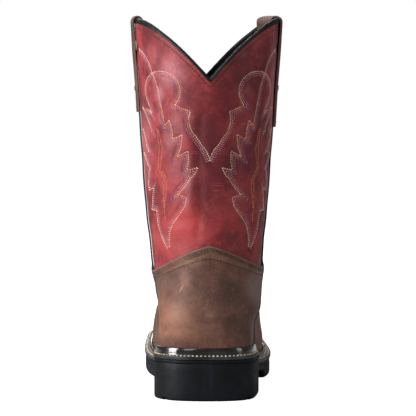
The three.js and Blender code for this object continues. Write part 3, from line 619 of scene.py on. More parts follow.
def lining():
    """Black fabric lining with a fine woven rib."""
    shader = Shader("lining", Specular_IOR_Level=0.15, Sheen_Weight=0.08)
    weave = shader.noise(1.0, 2.0, 0.5, shader.stretched((900.0, 900.0, 1800.0)))
    shader.colour(shader.blend(shader.ramp(weave, 0.35, 0.65), tone(12, 12, 13), tone(28, 28, 30)))
    shader.rough(shader.ramp(weave, 0.3, 0.7, 0.75, 0.95))
    shader.bump((weave, 0.00012), (shader.noise(60.0, 3.0), 0.0006))
    return shader.material


def sole_rubber():
    """Bluish black rubber with mould haze and faint scrapes."""
    shader = Shader("sole_rubber", Specular_IOR_Level=0.26)
    cloud = shader.noise(22.0, 6.0, 0.6, distortion=0.6)
    main = shader.blend(shader.ramp(cloud, 0.36, 0.7), tone(4, 6, 8), tone(14, 20, 29))
    scrape = shader.noise(1.0, 4.0, 0.6, shader.stretched((90.0, 90.0, 20.0)))
    main = shader.layer(main, scrape, 0.58, 0.78, 0.4, tone(38, 48, 64))
    shader.colour(main)
    shader.rough(shader.ramp(shader.noise(80.0, 5.0), 0.3, 0.7, 0.5, 0.72))
    shader.bump((shader.noise(900.0, 3.0, 0.6), 0.00006), (shader.noise(70.0, 4.0), 0.0003))
    return shader.material


def welt_rubber():
    """The welt's flat strip: black mottled with a lighter bluish grey, a painted glossy sheen."""
    shader = Shader("welt_rubber", Specular_IOR_Level=0.45)
    cloud = shader.noise(60.0, 5.0)
    # Painted sheen: the lighter bluish grey stands for the strip's gloss.
    shader.colour(shader.blend(shader.ramp(cloud, 0.35, 0.7), tone(26, 27, 31), tone(66, 68, 76)))
    shader.rough(shader.ramp(shader.noise(150.0, 4.0), 0.3, 0.7, 0.32, 0.52))
    shader.bump((shader.noise(700.0, 4.0), 0.00008))
    return shader.material


def welt_gloss():
    """The welt's bead: smooth, shiny black."""
    shader = Shader("welt_gloss", Specular_IOR_Level=0.7, Coat_Weight=0.9, Coat_Roughness=0.06)
    cloud = shader.noise(80.0, 4.0)
    shader.colour(shader.blend(shader.ramp(cloud, 0.35, 0.7), tone(12, 12, 14), tone(30, 31, 35)))
    shader.rough(shader.ramp(shader.noise(180.0, 4.0), 0.3, 0.7, 0.14, 0.3))
    shader.bump((shader.noise(130.0, 3.0), 0.00015))
    return shader.material


def insole_fabric():
    """The footbed's dark grey fabric."""
    shader = Shader("insole_fabric", Specular_IOR_Level=0.2, Sheen_Weight=0.15)
    weave = shader.noise(1.0, 2.0, 0.5, shader.stretched((1400.0, 700.0, 700.0)))
    shader.colour(shader.blend(shader.ramp(weave, 0.3, 0.7), tone(34, 33, 34), tone(66, 64, 64)))
    shader.rough(shader.ramp(weave, 0.3, 0.7, 0.8, 0.95))
    shader.bump((weave, 0.0002))
    return shader.material


def thread(name, light, shadow):
    """Waxed thread, a little different from stitch to stitch."""
    shader = Shader(name, Specular_IOR_Level=0.4, Sheen_Weight=0.2)
    fibre = shader.noise(2500.0, 2.0)
    vary = shader.math("MULTIPLY", shader.math("ADD", shader.attribute("vary"), fibre), 0.5)
    shader.colour(shader.blend(shader.ramp(vary, 0.15, 0.8), shadow, light))
    shader.rough(shader.ramp(fibre, 0.3, 0.7, 0.45, 0.65))
    shader.bump((fibre, 0.00008))
    return shader.material


RED = red_leather()
BROWN = brown_leather()
BLACK = black_leather()
LINING = lining()
RUBBER = sole_rubber()
WELT = welt_rubber()
BEAD = welt_gloss()
INSOLE = insole_fabric()
CREAM = thread("thread_cream", tone(244, 222, 208), tone(206, 168, 156))
ORANGE = thread("thread_orange", tone(240, 150, 108), tone(196, 104, 74))
LAVENDER = thread("thread_lavender", tone(164, 132, 172), tone(112, 84, 122))
DARK_THREAD = thread("thread_dark", tone(52, 34, 26), tone(24, 15, 11))
WELT_THREAD = thread("thread_welt", tone(236, 212, 172), tone(176, 142, 100))


# Tone zones, scuffs, folds and stitch lines. The dark, bright and pale zones are partly the leather's own
# tone and partly painted shade, painted light and painted sheen.
# Each zone: x from the heel's middle, height, half width and half height in millimetres, strength.
SHAFT_ZONES = {
    # Painted shade, partly maroon tone: the middle and the right side of the back.
    "dark": [
        (1, 208, 15, 38, 1.0), (26, 259, 17, 16, 0.7), (-1, 170, 15, 18, 0.8), (19, 190, 10, 26, 0.6),
        (42, 225, 12, 26, 0.5), (36, 262, 14, 14, 0.4), (35, 178, 16, 30, 0.45), (14, 236, 14, 16, 0.7),
        (-31, 190, 6, 12, 0.35), (-13, 240, 7, 9, 0.45), (47, 150, 10, 22, 0.4), (0, 146, 7, 12, 0.3),
    ],
    # Painted light, partly redder tone: the lower back and the left side.
    "bright": [
        (-17, 141, 20, 18, 1.0), (20, 146, 14, 15, 0.55), (1, 253, 5, 6, 0.5), (-46, 214, 9, 34, 0.35),
        (-21, 246, 8, 8, 0.35), (-4, 186, 8, 9, 0.5), (-30, 124, 22, 12, 0.6), (-1, 132, 12, 8, 0.5),
        (33, 130, 14, 10, 0.35),
    ],
    # Painted sheen: the upper left, inside the loops and along both side edges.
    "pale": [
        (-27, 262, 13, 14, 0.8), (-37, 246, 5, 9, 0.75), (-44, 276, 10, 12, 0.4), (-57, 205, 3.2, 90, 0.85),
        (-30, 205, 7, 14, 0.4), (-14, 172, 4.5, 24, 0.45), (-24, 226, 7, 16, 0.35), (30, 244, 6, 9, 0.2),
        (55, 215, 5, 80, 0.8), (-50, 160, 7, 24, 0.3), (-24, 182, 9, 14, 0.3),
        (-50, 205, 9, 46, 0.5), (45, 205, 7, 50, 0.22), (-36, 128, 14, 8, 0.3),
    ],
}
COUNTER_ZONES = {
    # Painted light, partly tan tone: mostly the lower left of the heel.
    "bright": [
        (-24, 66, 17, 15, 0.8), (-15, 111, 13, 5, 0.6), (-15, 96, 6, 10, 0.45), (-22, 55, 18, 8, 0.8),
        (-12, 76, 10, 10, 0.3), (10, 60, 12, 8, 0.25), (-32, 104, 6, 4, 0.4),
    ],
    # Painted shade, partly darker tone: mostly the right side of the heel.
    "dark": [
        (18, 84, 16, 14, 0.7), (20, 62, 14, 12, 0.5), (-34, 96, 9, 6, 0.45), (2, 82, 7, 14, 0.5),
        (34, 70, 7, 16, 0.45), (22, 103, 12, 6, 0.4),
    ],
    # Painted sheen: greyish pale near both sides of the heel.
    "pale": [
        (38, 88, 8, 14, 0.85), (-39, 78, 4, 18, 0.55), (-30, 92, 10, 9, 0.4), (-41, 62, 3, 12, 0.5),
    ],
}
# Scuffs on the counter: start and end as x and height, half width in millimetres, strength.
SCUFFS = [
    ((-20.0, 86.5), (-17.0, 91.5), 0.5, 0.9), ((13, 67), (14, 69), 0.5, 0.2), ((-3, 73), (-1, 75), 0.5, 0.4),
    ((-36, 95), (-34, 99), 0.5, 0.4), ((-31, 52), (-29, 55), 0.8, 0.35),
]
# Soft folds of the shaft: front or back, points as panel share and height, half width, depth.
SHAFT_FOLDS = [
    (False, [(-0.08, 226), (-0.1, 196), (-0.09, 160), (-0.13, 132)], 4.0, -0.9),
    (False, [(-0.22, 214), (-0.2, 182), (-0.22, 150)], 5.0, 0.7),
    (False, [(0.1, 222), (0.14, 190), (0.1, 158)], 6.0, 0.6),
    (False, [(-0.62, 236), (-0.45, 228), (-0.25, 231)], 5.0, -0.5),
    (False, [(0.3, 232), (0.5, 226), (0.72, 233)], 5.0, -0.5),
    (False, [(-0.7, 150), (-0.4, 143), (-0.1, 147), (0.2, 141)], 4.5, -0.6),
    (False, [(-0.5, 133), (-0.2, 137), (0.15, 133)], 4.0, 0.5),
    (False, [(0.2, 140), (0.5, 146), (0.8, 140)], 4.5, -0.5),
    (False, [(-0.9, 178), (-0.7, 172), (-0.5, 176)], 4.0, -0.45),
    (False, [(0.55, 192), (0.75, 186), (0.92, 190)], 4.0, -0.45),
    (False, [(-0.3, 272), (-0.36, 250), (-0.32, 236)], 7.0, 0.8),
    (False, [(0.34, 268), (0.36, 250), (0.3, 236)], 7.0, 0.5),
    (True, [(-0.7, 176), (-0.3, 164), (0.1, 168), (0.6, 160)], 6.0, -1.1),
    (True, [(-0.6, 192), (-0.1, 184), (0.5, 190)], 6.0, 0.8),
    (True, [(-0.4, 214), (0.1, 205), (0.6, 212)], 5.0, -0.7),
    (True, [(-0.1, 250), (0.0, 215), (-0.05, 180)], 7.0, 0.6),
]
# Stitch pattern of a half panel: shares from the panel's middle to its seam, and heights.
RISE = [
    (0.99, 284), (0.8, 279), (0.72, 276), (0.66, 272), (0.62, 267), (0.6, 262), (0.57, 258), (0.55, 253),
    (0.53, 249), (0.52, 244), (0.51, 239), (0.5, 235), (0.49, 230), (0.48, 225), (0.47, 221), (0.45, 217),
    (0.4, 221), (0.38, 215), (0.38, 211), (0.39, 207), (0.33, 208), (0.28, 210), (0.29, 204), (0.31, 200),
    (0.33, 196), (0.35, 192), (0.27, 195), (0.22, 197), (0.22, 192), (0.23, 188), (0.24, 183), (0.19, 183),
    (0.15, 184), (0.17, 181), (0.2, 179), (0.23, 175), (0.28, 170), (0.33, 166), (0.37, 162), (0.32, 163),
    (0.25, 161), (0.27, 156), (0.33, 150), (0.39, 145), (0.43, 141), (0.46, 136), (0.48, 132), (0.5, 127),
    (0.5, 121),
]
LOOP = [
    (0.5, 121), (0.56, 127), (0.61, 136), (0.63, 146), (0.63, 152), (0.72, 152), (0.7, 156), (0.65, 167),
    (0.64, 171), (0.76, 168), (0.78, 172), (0.75, 177), (0.72, 182), (0.7, 185), (0.75, 188), (0.8, 192),
    (0.84, 195), (0.67, 197), (0.71, 200), (0.75, 204), (0.77, 209), (0.81, 214), (0.6, 212), (0.62, 216),
    (0.65, 221), (0.69, 225), (0.78, 232), (0.68, 230), (0.59, 226), (0.62, 232), (0.64, 235), (0.67, 239),
    (0.7, 243), (0.71, 247), (0.7, 251), (0.665, 255), (0.61, 258.6), (0.54, 260.8), (0.46, 261.4),
    (0.39, 260.4),
    (0.335, 257.6), (0.3, 253.8), (0.285, 249.4), (0.288, 245), (0.305, 241), (0.33, 237.8), (0.36, 235),
    (0.31, 234),
    (0.26, 232), (0.2, 230), (0.21, 227), (0.21, 223), (0.2, 219), (0.18, 214), (0.15, 211), (0.12, 207),
    (0.09, 203), (0.05, 199), (0.03, 195), (0.01, 191),
]
VEIN_OUTER = [
    (0.56, 217), (0.54, 213), (0.54, 209), (0.53, 203), (0.54, 195), (0.55, 190), (0.56, 185), (0.53, 181),
    (0.5, 179), (0.48, 176), (0.49, 169), (0.5, 161), (0.51, 153), (0.51, 147), (0.52, 142),
]
VEIN_INNER = [
    (0.54, 217), (0.52, 213), (0.51, 210), (0.5, 205), (0.49, 201), (0.5, 197), (0.51, 192), (0.53, 188),
    (0.52, 184), (0.48, 180), (0.46, 178), (0.45, 172), (0.46, 167), (0.48, 160), (0.5, 153),
]
ROW_SPACING = 1.65
STITCH_PITCH = 1.8
CORNER_TURN = 38.0


# Lines on the leather.
def on_panel(points, front):
    """Places of a panel, given as shares and heights, as points, turns and levels."""
    points = np.asarray(points, float)
    share = points[:, 0]
    level = level_at(lambda middle: panel_turn(share, middle, front), points[:, 1])
    turn = panel_turn(share, level, front)
    return around(turn, level), turn, level


def lengths_along(points):
    steps = np.linalg.norm(np.diff(points[:, :3], axis=0), axis=1)
    return np.concatenate([[0.0], np.cumsum(steps)])


def spaced(points, pitch):
    """Points at an even pitch along a line. Columns after the third are carried along."""
    along = lengths_along(points)
    count = max(1, int(round(along[-1] / pitch)))
    places = np.linspace(0, along[-1], count + 1)
    return np.stack([np.interp(places, along, points[:, k]) for k in range(points.shape[1])], axis=1)


def smoothed(points):
    """The same line with a smooth curve through its points."""
    place = np.linspace(0, len(points) - 1, 6 * (len(points) - 1) + 1)
    return np.stack([through(points[:, k], place) for k in range(points.shape[1])], axis=1)


def cut_at_corners(points):
    """Cuts a line into runs at its sharp corners."""
    steps = np.diff(points[:, :3], axis=0)
    steps /= np.linalg.norm(steps, axis=1, keepdims=True)
    turned = np.degrees(np.arccos(np.clip((steps[1:] * steps[:-1]).sum(axis=1), -1, 1)))
    corners = [0, *(np.nonzero(turned > CORNER_TURN)[0] + 1).tolist(), len(points) - 1]
    return [points[a:b + 1] for a, b in zip(corners[:-1], corners[1:]) if b > a]


def beside(points, normals, distance):
    """A line beside another on the leather, mitred at its corners."""
    steps = np.diff(points, axis=0)
    steps /= np.linalg.norm(steps, axis=1, keepdims=True)
    before = np.vstack([steps[:1], steps])
    after = np.vstack([steps, steps[-1:]])
    left = np.cross(normals, before)
    right = np.cross(normals, after)
    across = left + right
    across /= np.maximum(np.linalg.norm(across, axis=1, keepdims=True), 1e-6)
    lean = np.maximum((across * left).sum(axis=1, keepdims=True), 0.42)
    return points + across * distance / lean


def embroidery_lines(front):
    """The pattern's lines on one panel: colour, and columns of points, normals and panel places."""
    lines = []
    for side in (-1, 1):
        hand = -side if front else side
        for chart in (RISE, LOOP, VEIN_OUTER, VEIN_INNER):
            places = np.array(chart) * (side, 1)
            points, turn, level = on_panel(places, front)
            normals = normal_at(turn, level)
            rows = {"orange": 0.0}
            if chart is RISE or chart is LOOP:
                rows.update(cream=-hand * ROW_SPACING, lavender=hand * ROW_SPACING)
            for colour, distance in rows.items():
                line = beside(points, normals, distance)
                lines.append((colour, np.hstack([line, normals, places])))
    return lines


EMBROIDERY = {front: embroidery_lines(front) for front in (False, True)}


def nearest_distance(points, targets):
    """How far each point is from the nearest of many targets."""
    tree = kdtree.KDTree(len(targets))
    for i, target in enumerate(targets):
        tree.insert(target, i)
    tree.balance()
    return np.array([tree.find(point)[2] for point in points])


PATTERN_POINTS = np.vstack([
    spaced(line, 0.9)[:, :3]
    for lines in EMBROIDERY.values() for colour, line in lines if colour == "orange"])
FOLD_LINES = []
for fold_front, fold_points, fold_width, fold_depth in SHAFT_FOLDS:
    chart = np.array(fold_points, float)
    place = np.linspace(0, len(chart) - 1, 24)
    smooth = np.stack([through(chart[:, 0], place), through(chart[:, 1], place)], axis=1)
    FOLD_LINES.append((spaced(on_panel(smooth, fold_front)[0], 2.0), fold_width, fold_depth))


def shaft_relief(points):
    """How far the shaft's leather stands out or sinks, at points on its face."""
    flat = points.reshape(-1, 3)
    near = nearest_distance(flat, PATTERN_POINTS)
    relief = 0.22 - 0.5 * np.exp(-(np.maximum(near - 1.6, 0) / 1.5) ** 2)
    relief *= np.exp(-(np.maximum(near - 7, 0) / 9) ** 2)
    for line, width, depth in FOLD_LINES:
        apart = np.linalg.norm(flat[:, None, :] - line[None, :, :], axis=2).min(axis=1)
        relief += depth * np.exp(-(apart / width) ** 2)
    return relief.reshape(points.shape[:-1])


def zone_weights(points, zones, behind):
    """Weights of the named zones at points, for the half of the boot behind its seams."""
    x = points[..., 0] - ORIGIN[0]
    z = points[..., 2]
    weights = {}
    for title in ("dark", "bright", "pale"):
        total = np.zeros(x.shape)
        for middle, height, wide, tall, strength in zones.get(title, []):
            spot = strength * np.exp(-((x - middle) / wide) ** 2 - ((z - height) / tall) ** 2)
            total = np.maximum(total, spot)
        weights[title] = total * behind
    return weights


def line_weight(points, lines):
    """Weights of short scuffs seen from behind."""
    x = points[..., 0] - ORIGIN[0]
    z = points[..., 2]
    total = np.zeros(x.shape)
    for (x0, z0), (x1, z1), wide, strength in lines:
        along = np.array([x1 - x0, z1 - z0])
        place = np.clip(((x - x0) * along[0] + (z - z0) * along[1]) / (along ** 2).sum(), 0, 1)
        apart = np.hypot(x - x0 - place * along[0], z - z0 - place * along[1])
        taper = 0.35 + 0.65 * np.sin(np.pi * np.clip(place, 0.05, 0.95))
        total = np.maximum(total, strength * np.exp(-(apart / (wide * taper)) ** 2))
    return total


# Threads.
STITCH_ALONG = np.array([0.0, 0.16, 0.5, 0.84, 1.0])
STITCH_RISE = np.array([-0.3, 0.72, 1.0, 0.72, -0.3])
STITCH_WIDE = np.array([0.45, 0.92, 1.0, 0.92, 0.45])
STITCH_ROUND = np.linspace(0, np.pi, 5)


def make_stitches(name, runs, material, width=0.78, height=0.42, fill=0.84, slant=0.0):
    """Stitches as one mesh. Each run is a line of needle holes and the leather's normals there."""
    rng = np.random.default_rng(len(name) * 7919 + len(runs))
    starts = np.vstack([holes[:-1] for holes, _ in runs])
    ends = np.vstack([holes[1:] for holes, _ in runs])
    normals = np.vstack([(normals[1:] + normals[:-1]) / 2 for _, normals in runs])
    count = len(starts)
    middle = (starts + ends) / 2
    half = (ends - starts) / 2 * fill
    across = np.cross(half, normals)
    across /= np.maximum(np.linalg.norm(across, axis=1, keepdims=True), 1e-9)
    swell = rng.uniform(0.88, 1.12, count)[:, None, None, None]
    lean = rng.normal(0, 0.04, count)[:, None, None, None]
    along = (STITCH_ALONG * 2 - 1)[None, :, None, None]
    wide = (STITCH_WIDE[:, None] * np.cos(STITCH_ROUND)[None, :])[None, :, :, None] * width / 2
    crown = np.maximum(np.sin(STITCH_ROUND), 0.05)
    rise = (STITCH_RISE[:, None] * crown[None, :])[None, :, :, None] * height
    points = (middle[:, None, None, :] + half[:, None, None, :] * along
              + across[:, None, None, :] * (wide * swell + (lean + slant) * along)
              + normals[:, None, None, :] * rise)
    rows = len(STITCH_ROUND)
    one = grid_faces(len(STITCH_ALONG), rows)
    faces = (one[None] + (np.arange(count) * len(STITCH_ALONG) * rows)[:, None, None]).reshape(-1, 4)
    vary = np.repeat(rng.uniform(0, 1, count), len(STITCH_ALONG) * rows)
    return make_piece(name, points, faces, material, attributes={"vary": vary}, sharp=180)


def embroidery_runs(colour):
    """Runs of needle holes for one colour of the pattern, on the leather's relief."""
    runs = []
    for front, lines in EMBROIDERY.items():
        for own, line in lines:
            if own != colour:
                continue
            for part in cut_at_corners(line):
                holes = spaced(smoothed(part), STITCH_PITCH)
                if front:
                    holes = holes[holes[:, 7] > top_line(holes[:, 6], True) + 3.0]
                if len(holes) < 2:
                    continue
                normals = unit(holes[:, 3:6])
                points = holes[:, :3] + normals * shaft_relief(holes[:, :3])[:, None]
                runs.append((points, normals))
    return runs


def surface_run(turn, level, out, pitch):
    """A run of needle holes along turns and levels, out from the upper's face by given amounts."""
    turn, level = np.broadcast_arrays(np.asarray(turn, float), np.asarray(level, float))
    normals = normal_at(turn, level)
    points = around(turn, level) + normals * np.asarray(out, float)[..., None]
    line = spaced(np.hstack([points, normals]), pitch)
    return line[:, :3], unit(line[:, 3:6])


# The shaft: the upper's outer face with its relief, and the lining inside it.
def make_shaft():
    columns = 440
    turns = np.arange(columns) * 4 / columns
    behind = (turns <= 1) | (turns >= 3)
    share = np.where(behind, np.where(turns <= 1, turns, turns - 4), 2 - turns)
    line = np.where(behind, top_line(share, False), top_line(share, True))
    low = level_at(lambda level: turns, line - 8.0)
    hidden = np.linspace(0, 1, 9)[:-1]
    shown = np.linspace(0, 1, 164)
    levels = np.hstack([low[:, None] * hidden, mix(low[:, None], TOP_RING, shown)])
    turn_grid = np.broadcast_to(turns[:, None], levels.shape)
    base = around(turn_grid, levels)
    relief = np.zeros(levels.shape)
    relief[:, len(hidden):] = shaft_relief(base[:, len(hidden):])
    relief *= ease((TOP_RING - levels) / 0.25)
    points = base + normal_at(turn_grid, levels) * relief[..., None]
    half = np.where(behind, 1 - ease((np.abs(share) - 0.9) / 0.1), 0.0)[:, None]
    weights = zone_weights(base, SHAFT_ZONES, half)
    faces = grid_faces(columns, levels.shape[1], wrap=True)
    make_piece("shaft", points, faces, RED, ["upper"], weights)


def make_lining():
    columns = 200
    turns = np.arange(columns) * 4 / columns
    levels = np.linspace(0, TOP_RING, 70)
    grid = np.meshgrid(turns, levels, indexing="ij")
    points = proud(grid[0], grid[1], np.full(grid[0].shape, -WALL))
    faces = grid_faces(columns, len(levels), wrap=True)[:, ::-1]
    make_piece("lining", points, faces, LINING, ["upper"])


# Counter and vamp.
ROUND_DROP = np.array([0.0, 0.5, 0.8, 0.95, 1.0])
ROUND_IN = np.array([0.0, 0.0, 0.16, 0.45, 0.9])


def band_reach(t, front):
    """How far below the top line the lower stitch line runs: further at the tip than at the seams."""
    return mix(12.5 if front else 10.8, 5.6, np.abs(t) ** 0.9)


def band_relief(below, reach):
    """A folded strip with a rounded lip along the top line, and a lower step under it."""
    strip = 0.85 * (1 - ease((below - 4.9) / 0.7))
    step = 0.5 * (1 - ease((below - reach - 0.8) / 1.0))
    groove = -0.22 * np.exp(-((below - 2.3) / 0.5) ** 2) - 0.22 * np.exp(-((below - 3.9) / 0.5) ** 2)
    lower = -0.3 * np.exp(-((below - reach) / 0.6) ** 2)
    return strip * 0.75 + step * 0.5 + groove + lower


def overlay_grid(front, columns, low_rows):
    """Turns, levels, thickness share and depth below the top line on a counter or a vamp."""
    whole = np.linspace(-1, 1, columns)
    arc = 480.0 if front else 196.0
    edge = np.concatenate([-1 + ROUND_IN / arc * 2, whole[2:-2], (1 - ROUND_IN / arc * 2)[::-1]])
    side_drop = np.concatenate([ROUND_DROP, np.ones(columns - 4), ROUND_DROP[::-1]])
    t = edge[::-1] if front else edge
    top = top_line(t, front)
    shallow = np.concatenate([np.arange(15.0, 0.95, -0.5), ROUND_IN[::-1]])
    drop = np.concatenate([np.ones(len(shallow) - 5), ROUND_DROP[::-1]])
    upper_levels = np.stack([
        level_at(lambda level: panel_turn(t, level, front, SEAM_EDGE), top - below)
        for below in shallow], axis=1)
    share = np.linspace(0, 1, low_rows)[:-1]
    levels = np.hstack([upper_levels[:, :1] * share, upper_levels])
    thick = np.hstack([np.ones((len(t), low_rows - 1)), np.broadcast_to(drop, upper_levels.shape)])
    turns = panel_turn(t[:, None], levels, front, SEAM_EDGE)
    base = around(turns, levels)
    below = np.hstack([
        top[:, None] - base[:, :low_rows - 1, 2], np.broadcast_to(shallow, upper_levels.shape)])
    return t, turns, levels, base, thick * side_drop[:, None], below


def top_stitches(name, front):
    """The double row on the folded strip and the single row under it."""
    t = np.linspace(-0.985, 0.985, 240)[::-1 if front else 1]
    top = top_line(t, front)
    runs = []
    for depth in (np.full(t.shape, 2.3), np.full(t.shape, 3.9), band_reach(t, front)):
        level = level_at(lambda one: panel_turn(t, one, front, SEAM_EDGE), top - depth)
        turn = panel_turn(t, level, front, SEAM_EDGE)
        out = CLEARANCE + OVERLAY + band_relief(depth, band_reach(t, front)) + 0.05
        runs.append(surface_run(turn, level, out, 2.5))
    make_stitches(name, runs, DARK_THREAD, width=0.85, height=0.3, fill=0.8)


def counter_folds(base):
    """Soft hollows and swells of the heel's leather, seen from behind."""
    x = base[..., 0] - ORIGIN[0]
    z = base[..., 2]
    swells = [(-22, 62, 14, 14, 0.7), (16, 68, 14, 16, 0.5), (-4, 88, 6, 14, -0.5), (-14, 96, 5, 9, 0.5),
              (-34, 88, 7, 14, -0.5), (30, 92, 9, 12, -0.4), (0, 50, 26, 5, -0.4), (24, 52, 10, 6, 0.4),
              (8, 100, 8, 6, 0.35)]
    relief = np.zeros(x.shape)
    for middle, height, wide, tall, depth in swells:
        relief += depth * np.exp(-((x - middle) / wide) ** 2 - ((z - height) / tall) ** 2)
    return relief


# Creases across the vamp where the foot bends, in plan: start, end, half width, depth.
VAMP_CREASES = [
    ((-46, 186), (36, 196), 3.2, -0.9), ((-42, 193), (34, 203), 3.0, 0.6), ((-44, 178), (38, 186), 3.4, 0.5),
    ((-40, 168), (36, 174), 3.6, -0.7), ((-30, 150), (26, 154), 4.5, -0.6), ((-32, 142), (30, 143), 4.5, 0.5),
    ((-36, 203), (20, 212), 3.0, -0.4), ((-38, 110), (-20, 128), 4.0, -0.6),
    ((38, 106), (22, 126), 4.0, -0.6),
]


def vamp_folds(base):
    x = base[..., 0] - ORIGIN[0]
    y = base[..., 1] - ORIGIN[1]
    lift = ease((base[..., 2] - welt_top(base[..., 1]) - 12) / 20)
    relief = np.zeros(x.shape)
    for (x0, y0), (x1, y1), wide, depth in VAMP_CREASES:
        along = np.array([x1 - x0, y1 - y0])
        place = np.clip(((x - x0) * along[0] + (y - y0) * along[1]) / (along ** 2).sum(), 0, 1)
        sway = 1.6 * np.sin(place * 9 + x0)
        apart = np.hypot(x - x0 - place * along[0], y - y0 - place * along[1] + sway)
        taper = np.sin(np.pi * np.clip(place, 0.04, 0.96)) ** 0.6
        relief += depth * np.exp(-(apart / wide) ** 2) * taper
    return relief * lift


def make_overlay(name, front, columns, low_rows):
    t, turns, levels, base, thick, below = overlay_grid(front, columns, low_rows)
    reach = band_reach(t, front)[:, None]
    inner = ease((below - 14) / 12) * ease(levels / 0.6)
    folds = (vamp_folds(base) if front else counter_folds(base)) * inner
    full = OVERLAY + band_relief(below, reach) + folds
    points = base + normal_at(turns, levels) * (CLEARANCE + full * thick)[..., None]
    behind = np.zeros(base.shape[:-1]) if front else np.ones(base.shape[:-1])
    weights = zone_weights(base, COUNTER_ZONES, behind)
    if front:
        toe = ease((base[..., 1] - 245) / 30)
        weights["bright"] = 0.35 * toe
        weights["dark"] = 0.3 * np.exp(-((base[..., 1] - 225) / 22) ** 2)
    # Grey-brown along the folded top edge, partly a painted highlight on its rounded lip.
    weights["edge"] = 0.85 * (1 - ease((below - 1.3) / 0.9))
    # A lighter tan band between the folded strip and the lower stitch line.
    lighter_band = 0.3 * ease((below - 4.6) / 0.8) * ease((reach - below) / 0.8)
    weights["bright"] = np.maximum(weights["bright"], lighter_band)
    weights["scuff"] = line_weight(base, SCUFFS) * behind
    faces = grid_faces(len(t), levels.shape[1])
    make_piece(name, points, faces, BROWN, [name], weights, sharp=60)


# Piping over the side seams.
def make_piping(name, side):
    across = np.linspace(-1, 1, 13)
    seam_turn = 1.0 if side > 0 else 3.0
    foot = around(seam_turn, 0.0)
    start = level_at(lambda level: np.array(seam_turn),
                     foot[2] + WELT_THICKNESS + bead_height(foot[1]) * 0.86)
    levels = mix(float(start), TOP_RING, np.linspace(0, 1, 230))
    top = TOP_LATERAL if side > 0 else TOP_MEDIAL
    z = around(seam_turn, levels)[..., 2]
    lap = OVERLAY * 0.8 * (1 - ease((z - top + 1) / 7))
    offset, level = np.meshgrid(across, levels, indexing="ij")
    turn = turn_of_y(seam_y(level) + offset * PIPING_WIDTH / 2 * side, side, level)
    crown = np.sqrt(np.maximum(0, 1 - offset ** 2))
    out = CLEARANCE + (PIPING_PROUD + lap[None, :]) * (crown * 0.9 + 0.1 * (np.abs(offset) < 1))
    points = proud(turn, level, out)
    points[:, -1, 2] = around(turn[:, -1], level[:, -1])[..., 2]
    make_piece(name, points, grid_faces(len(across), len(levels)), BLACK, [name])


# The rolled binding on the collar's edge.
def make_binding():
    columns = 440
    turns = np.arange(columns) * 4 / columns
    angle = np.linspace(0, np.pi, 15)
    half = WALL / 2 + BINDING_PROUD
    turn, bend = np.meshgrid(turns, angle, indexing="ij")
    ripple = 0.06 * np.sin(turn * 160)
    out = -WALL / 2 + half * np.sign(np.cos(bend)) * np.abs(np.cos(bend)) ** 0.75
    level = np.full(turn.shape, TOP_RING)
    points = proud(turn, level, out)
    edge = around(turn, level)[..., 2]
    rise = BINDING_HEIGHT + ripple + 1.4 * ease((edge - COLLAR_PEAK + 12) / 12)
    points[..., 2] = edge + CLEARANCE + rise * np.sin(bend) ** 0.8 - 0.25 * (np.sin(bend) < 0.05)
    make_piece("collar_binding", points, grid_faces(columns, 15, wrap=True), BLACK,
               ["collar_binding"], sharp=180)
    runs = []
    for front in (False, True):
        t = np.linspace(-0.985, 0.985, 200)[::-1 if front else 1]
        top = np.full(t.shape, TOP_RING)
        line = around(panel_turn(t, top, front), top)[..., 2]
        level = level_at(lambda one: panel_turn(t, one, front), line - 4.4)
        turn = panel_turn(t, level, front)
        out = shaft_relief(around(turn, level)) * ease((TOP_RING - level) / 0.25) + 0.02
        runs.append(surface_run(turn, level, out, 2.6))
    make_stitches("collar_stitches", runs, DARK_THREAD, width=0.8, height=0.28, fill=0.78)


# Pull straps: up the outside, over the collar in a loop and down the inside.
STRAP_SECTION = np.array([
    (-0.5, 0.0), (-0.494, 0.55), (-0.478, 0.88), (-0.45, 1.0), (-0.36, 1.0), (-0.24, 1.0), (-0.12, 1.0),
    (0.0, 1.0), (0.12, 1.0), (0.24, 1.0), (0.36, 1.0), (0.45, 1.0), (0.478, 0.88), (0.494, 0.55),
    (0.5, 0.0), (0.494, -0.55), (0.478, -0.88), (0.45, -1.0), (0.24, -1.0), (0.0, -1.0), (-0.24, -1.0),
    (-0.45, -1.0), (-0.478, -0.88), (-0.494, -0.55)])
STRAP_TACK_HEIGHT = 249.0
STRAP_OUTER_STEPS = 52
STRAP_LOOP_STEPS = 29
STRAP_INNER_STEPS = 39
STRAP_SHADE_PAD_STEPS = slice(51, 94)


def strap_lift(share):
    return 0.2 + 0.8 * (1 - (2 * share) ** 2) ** 0.9


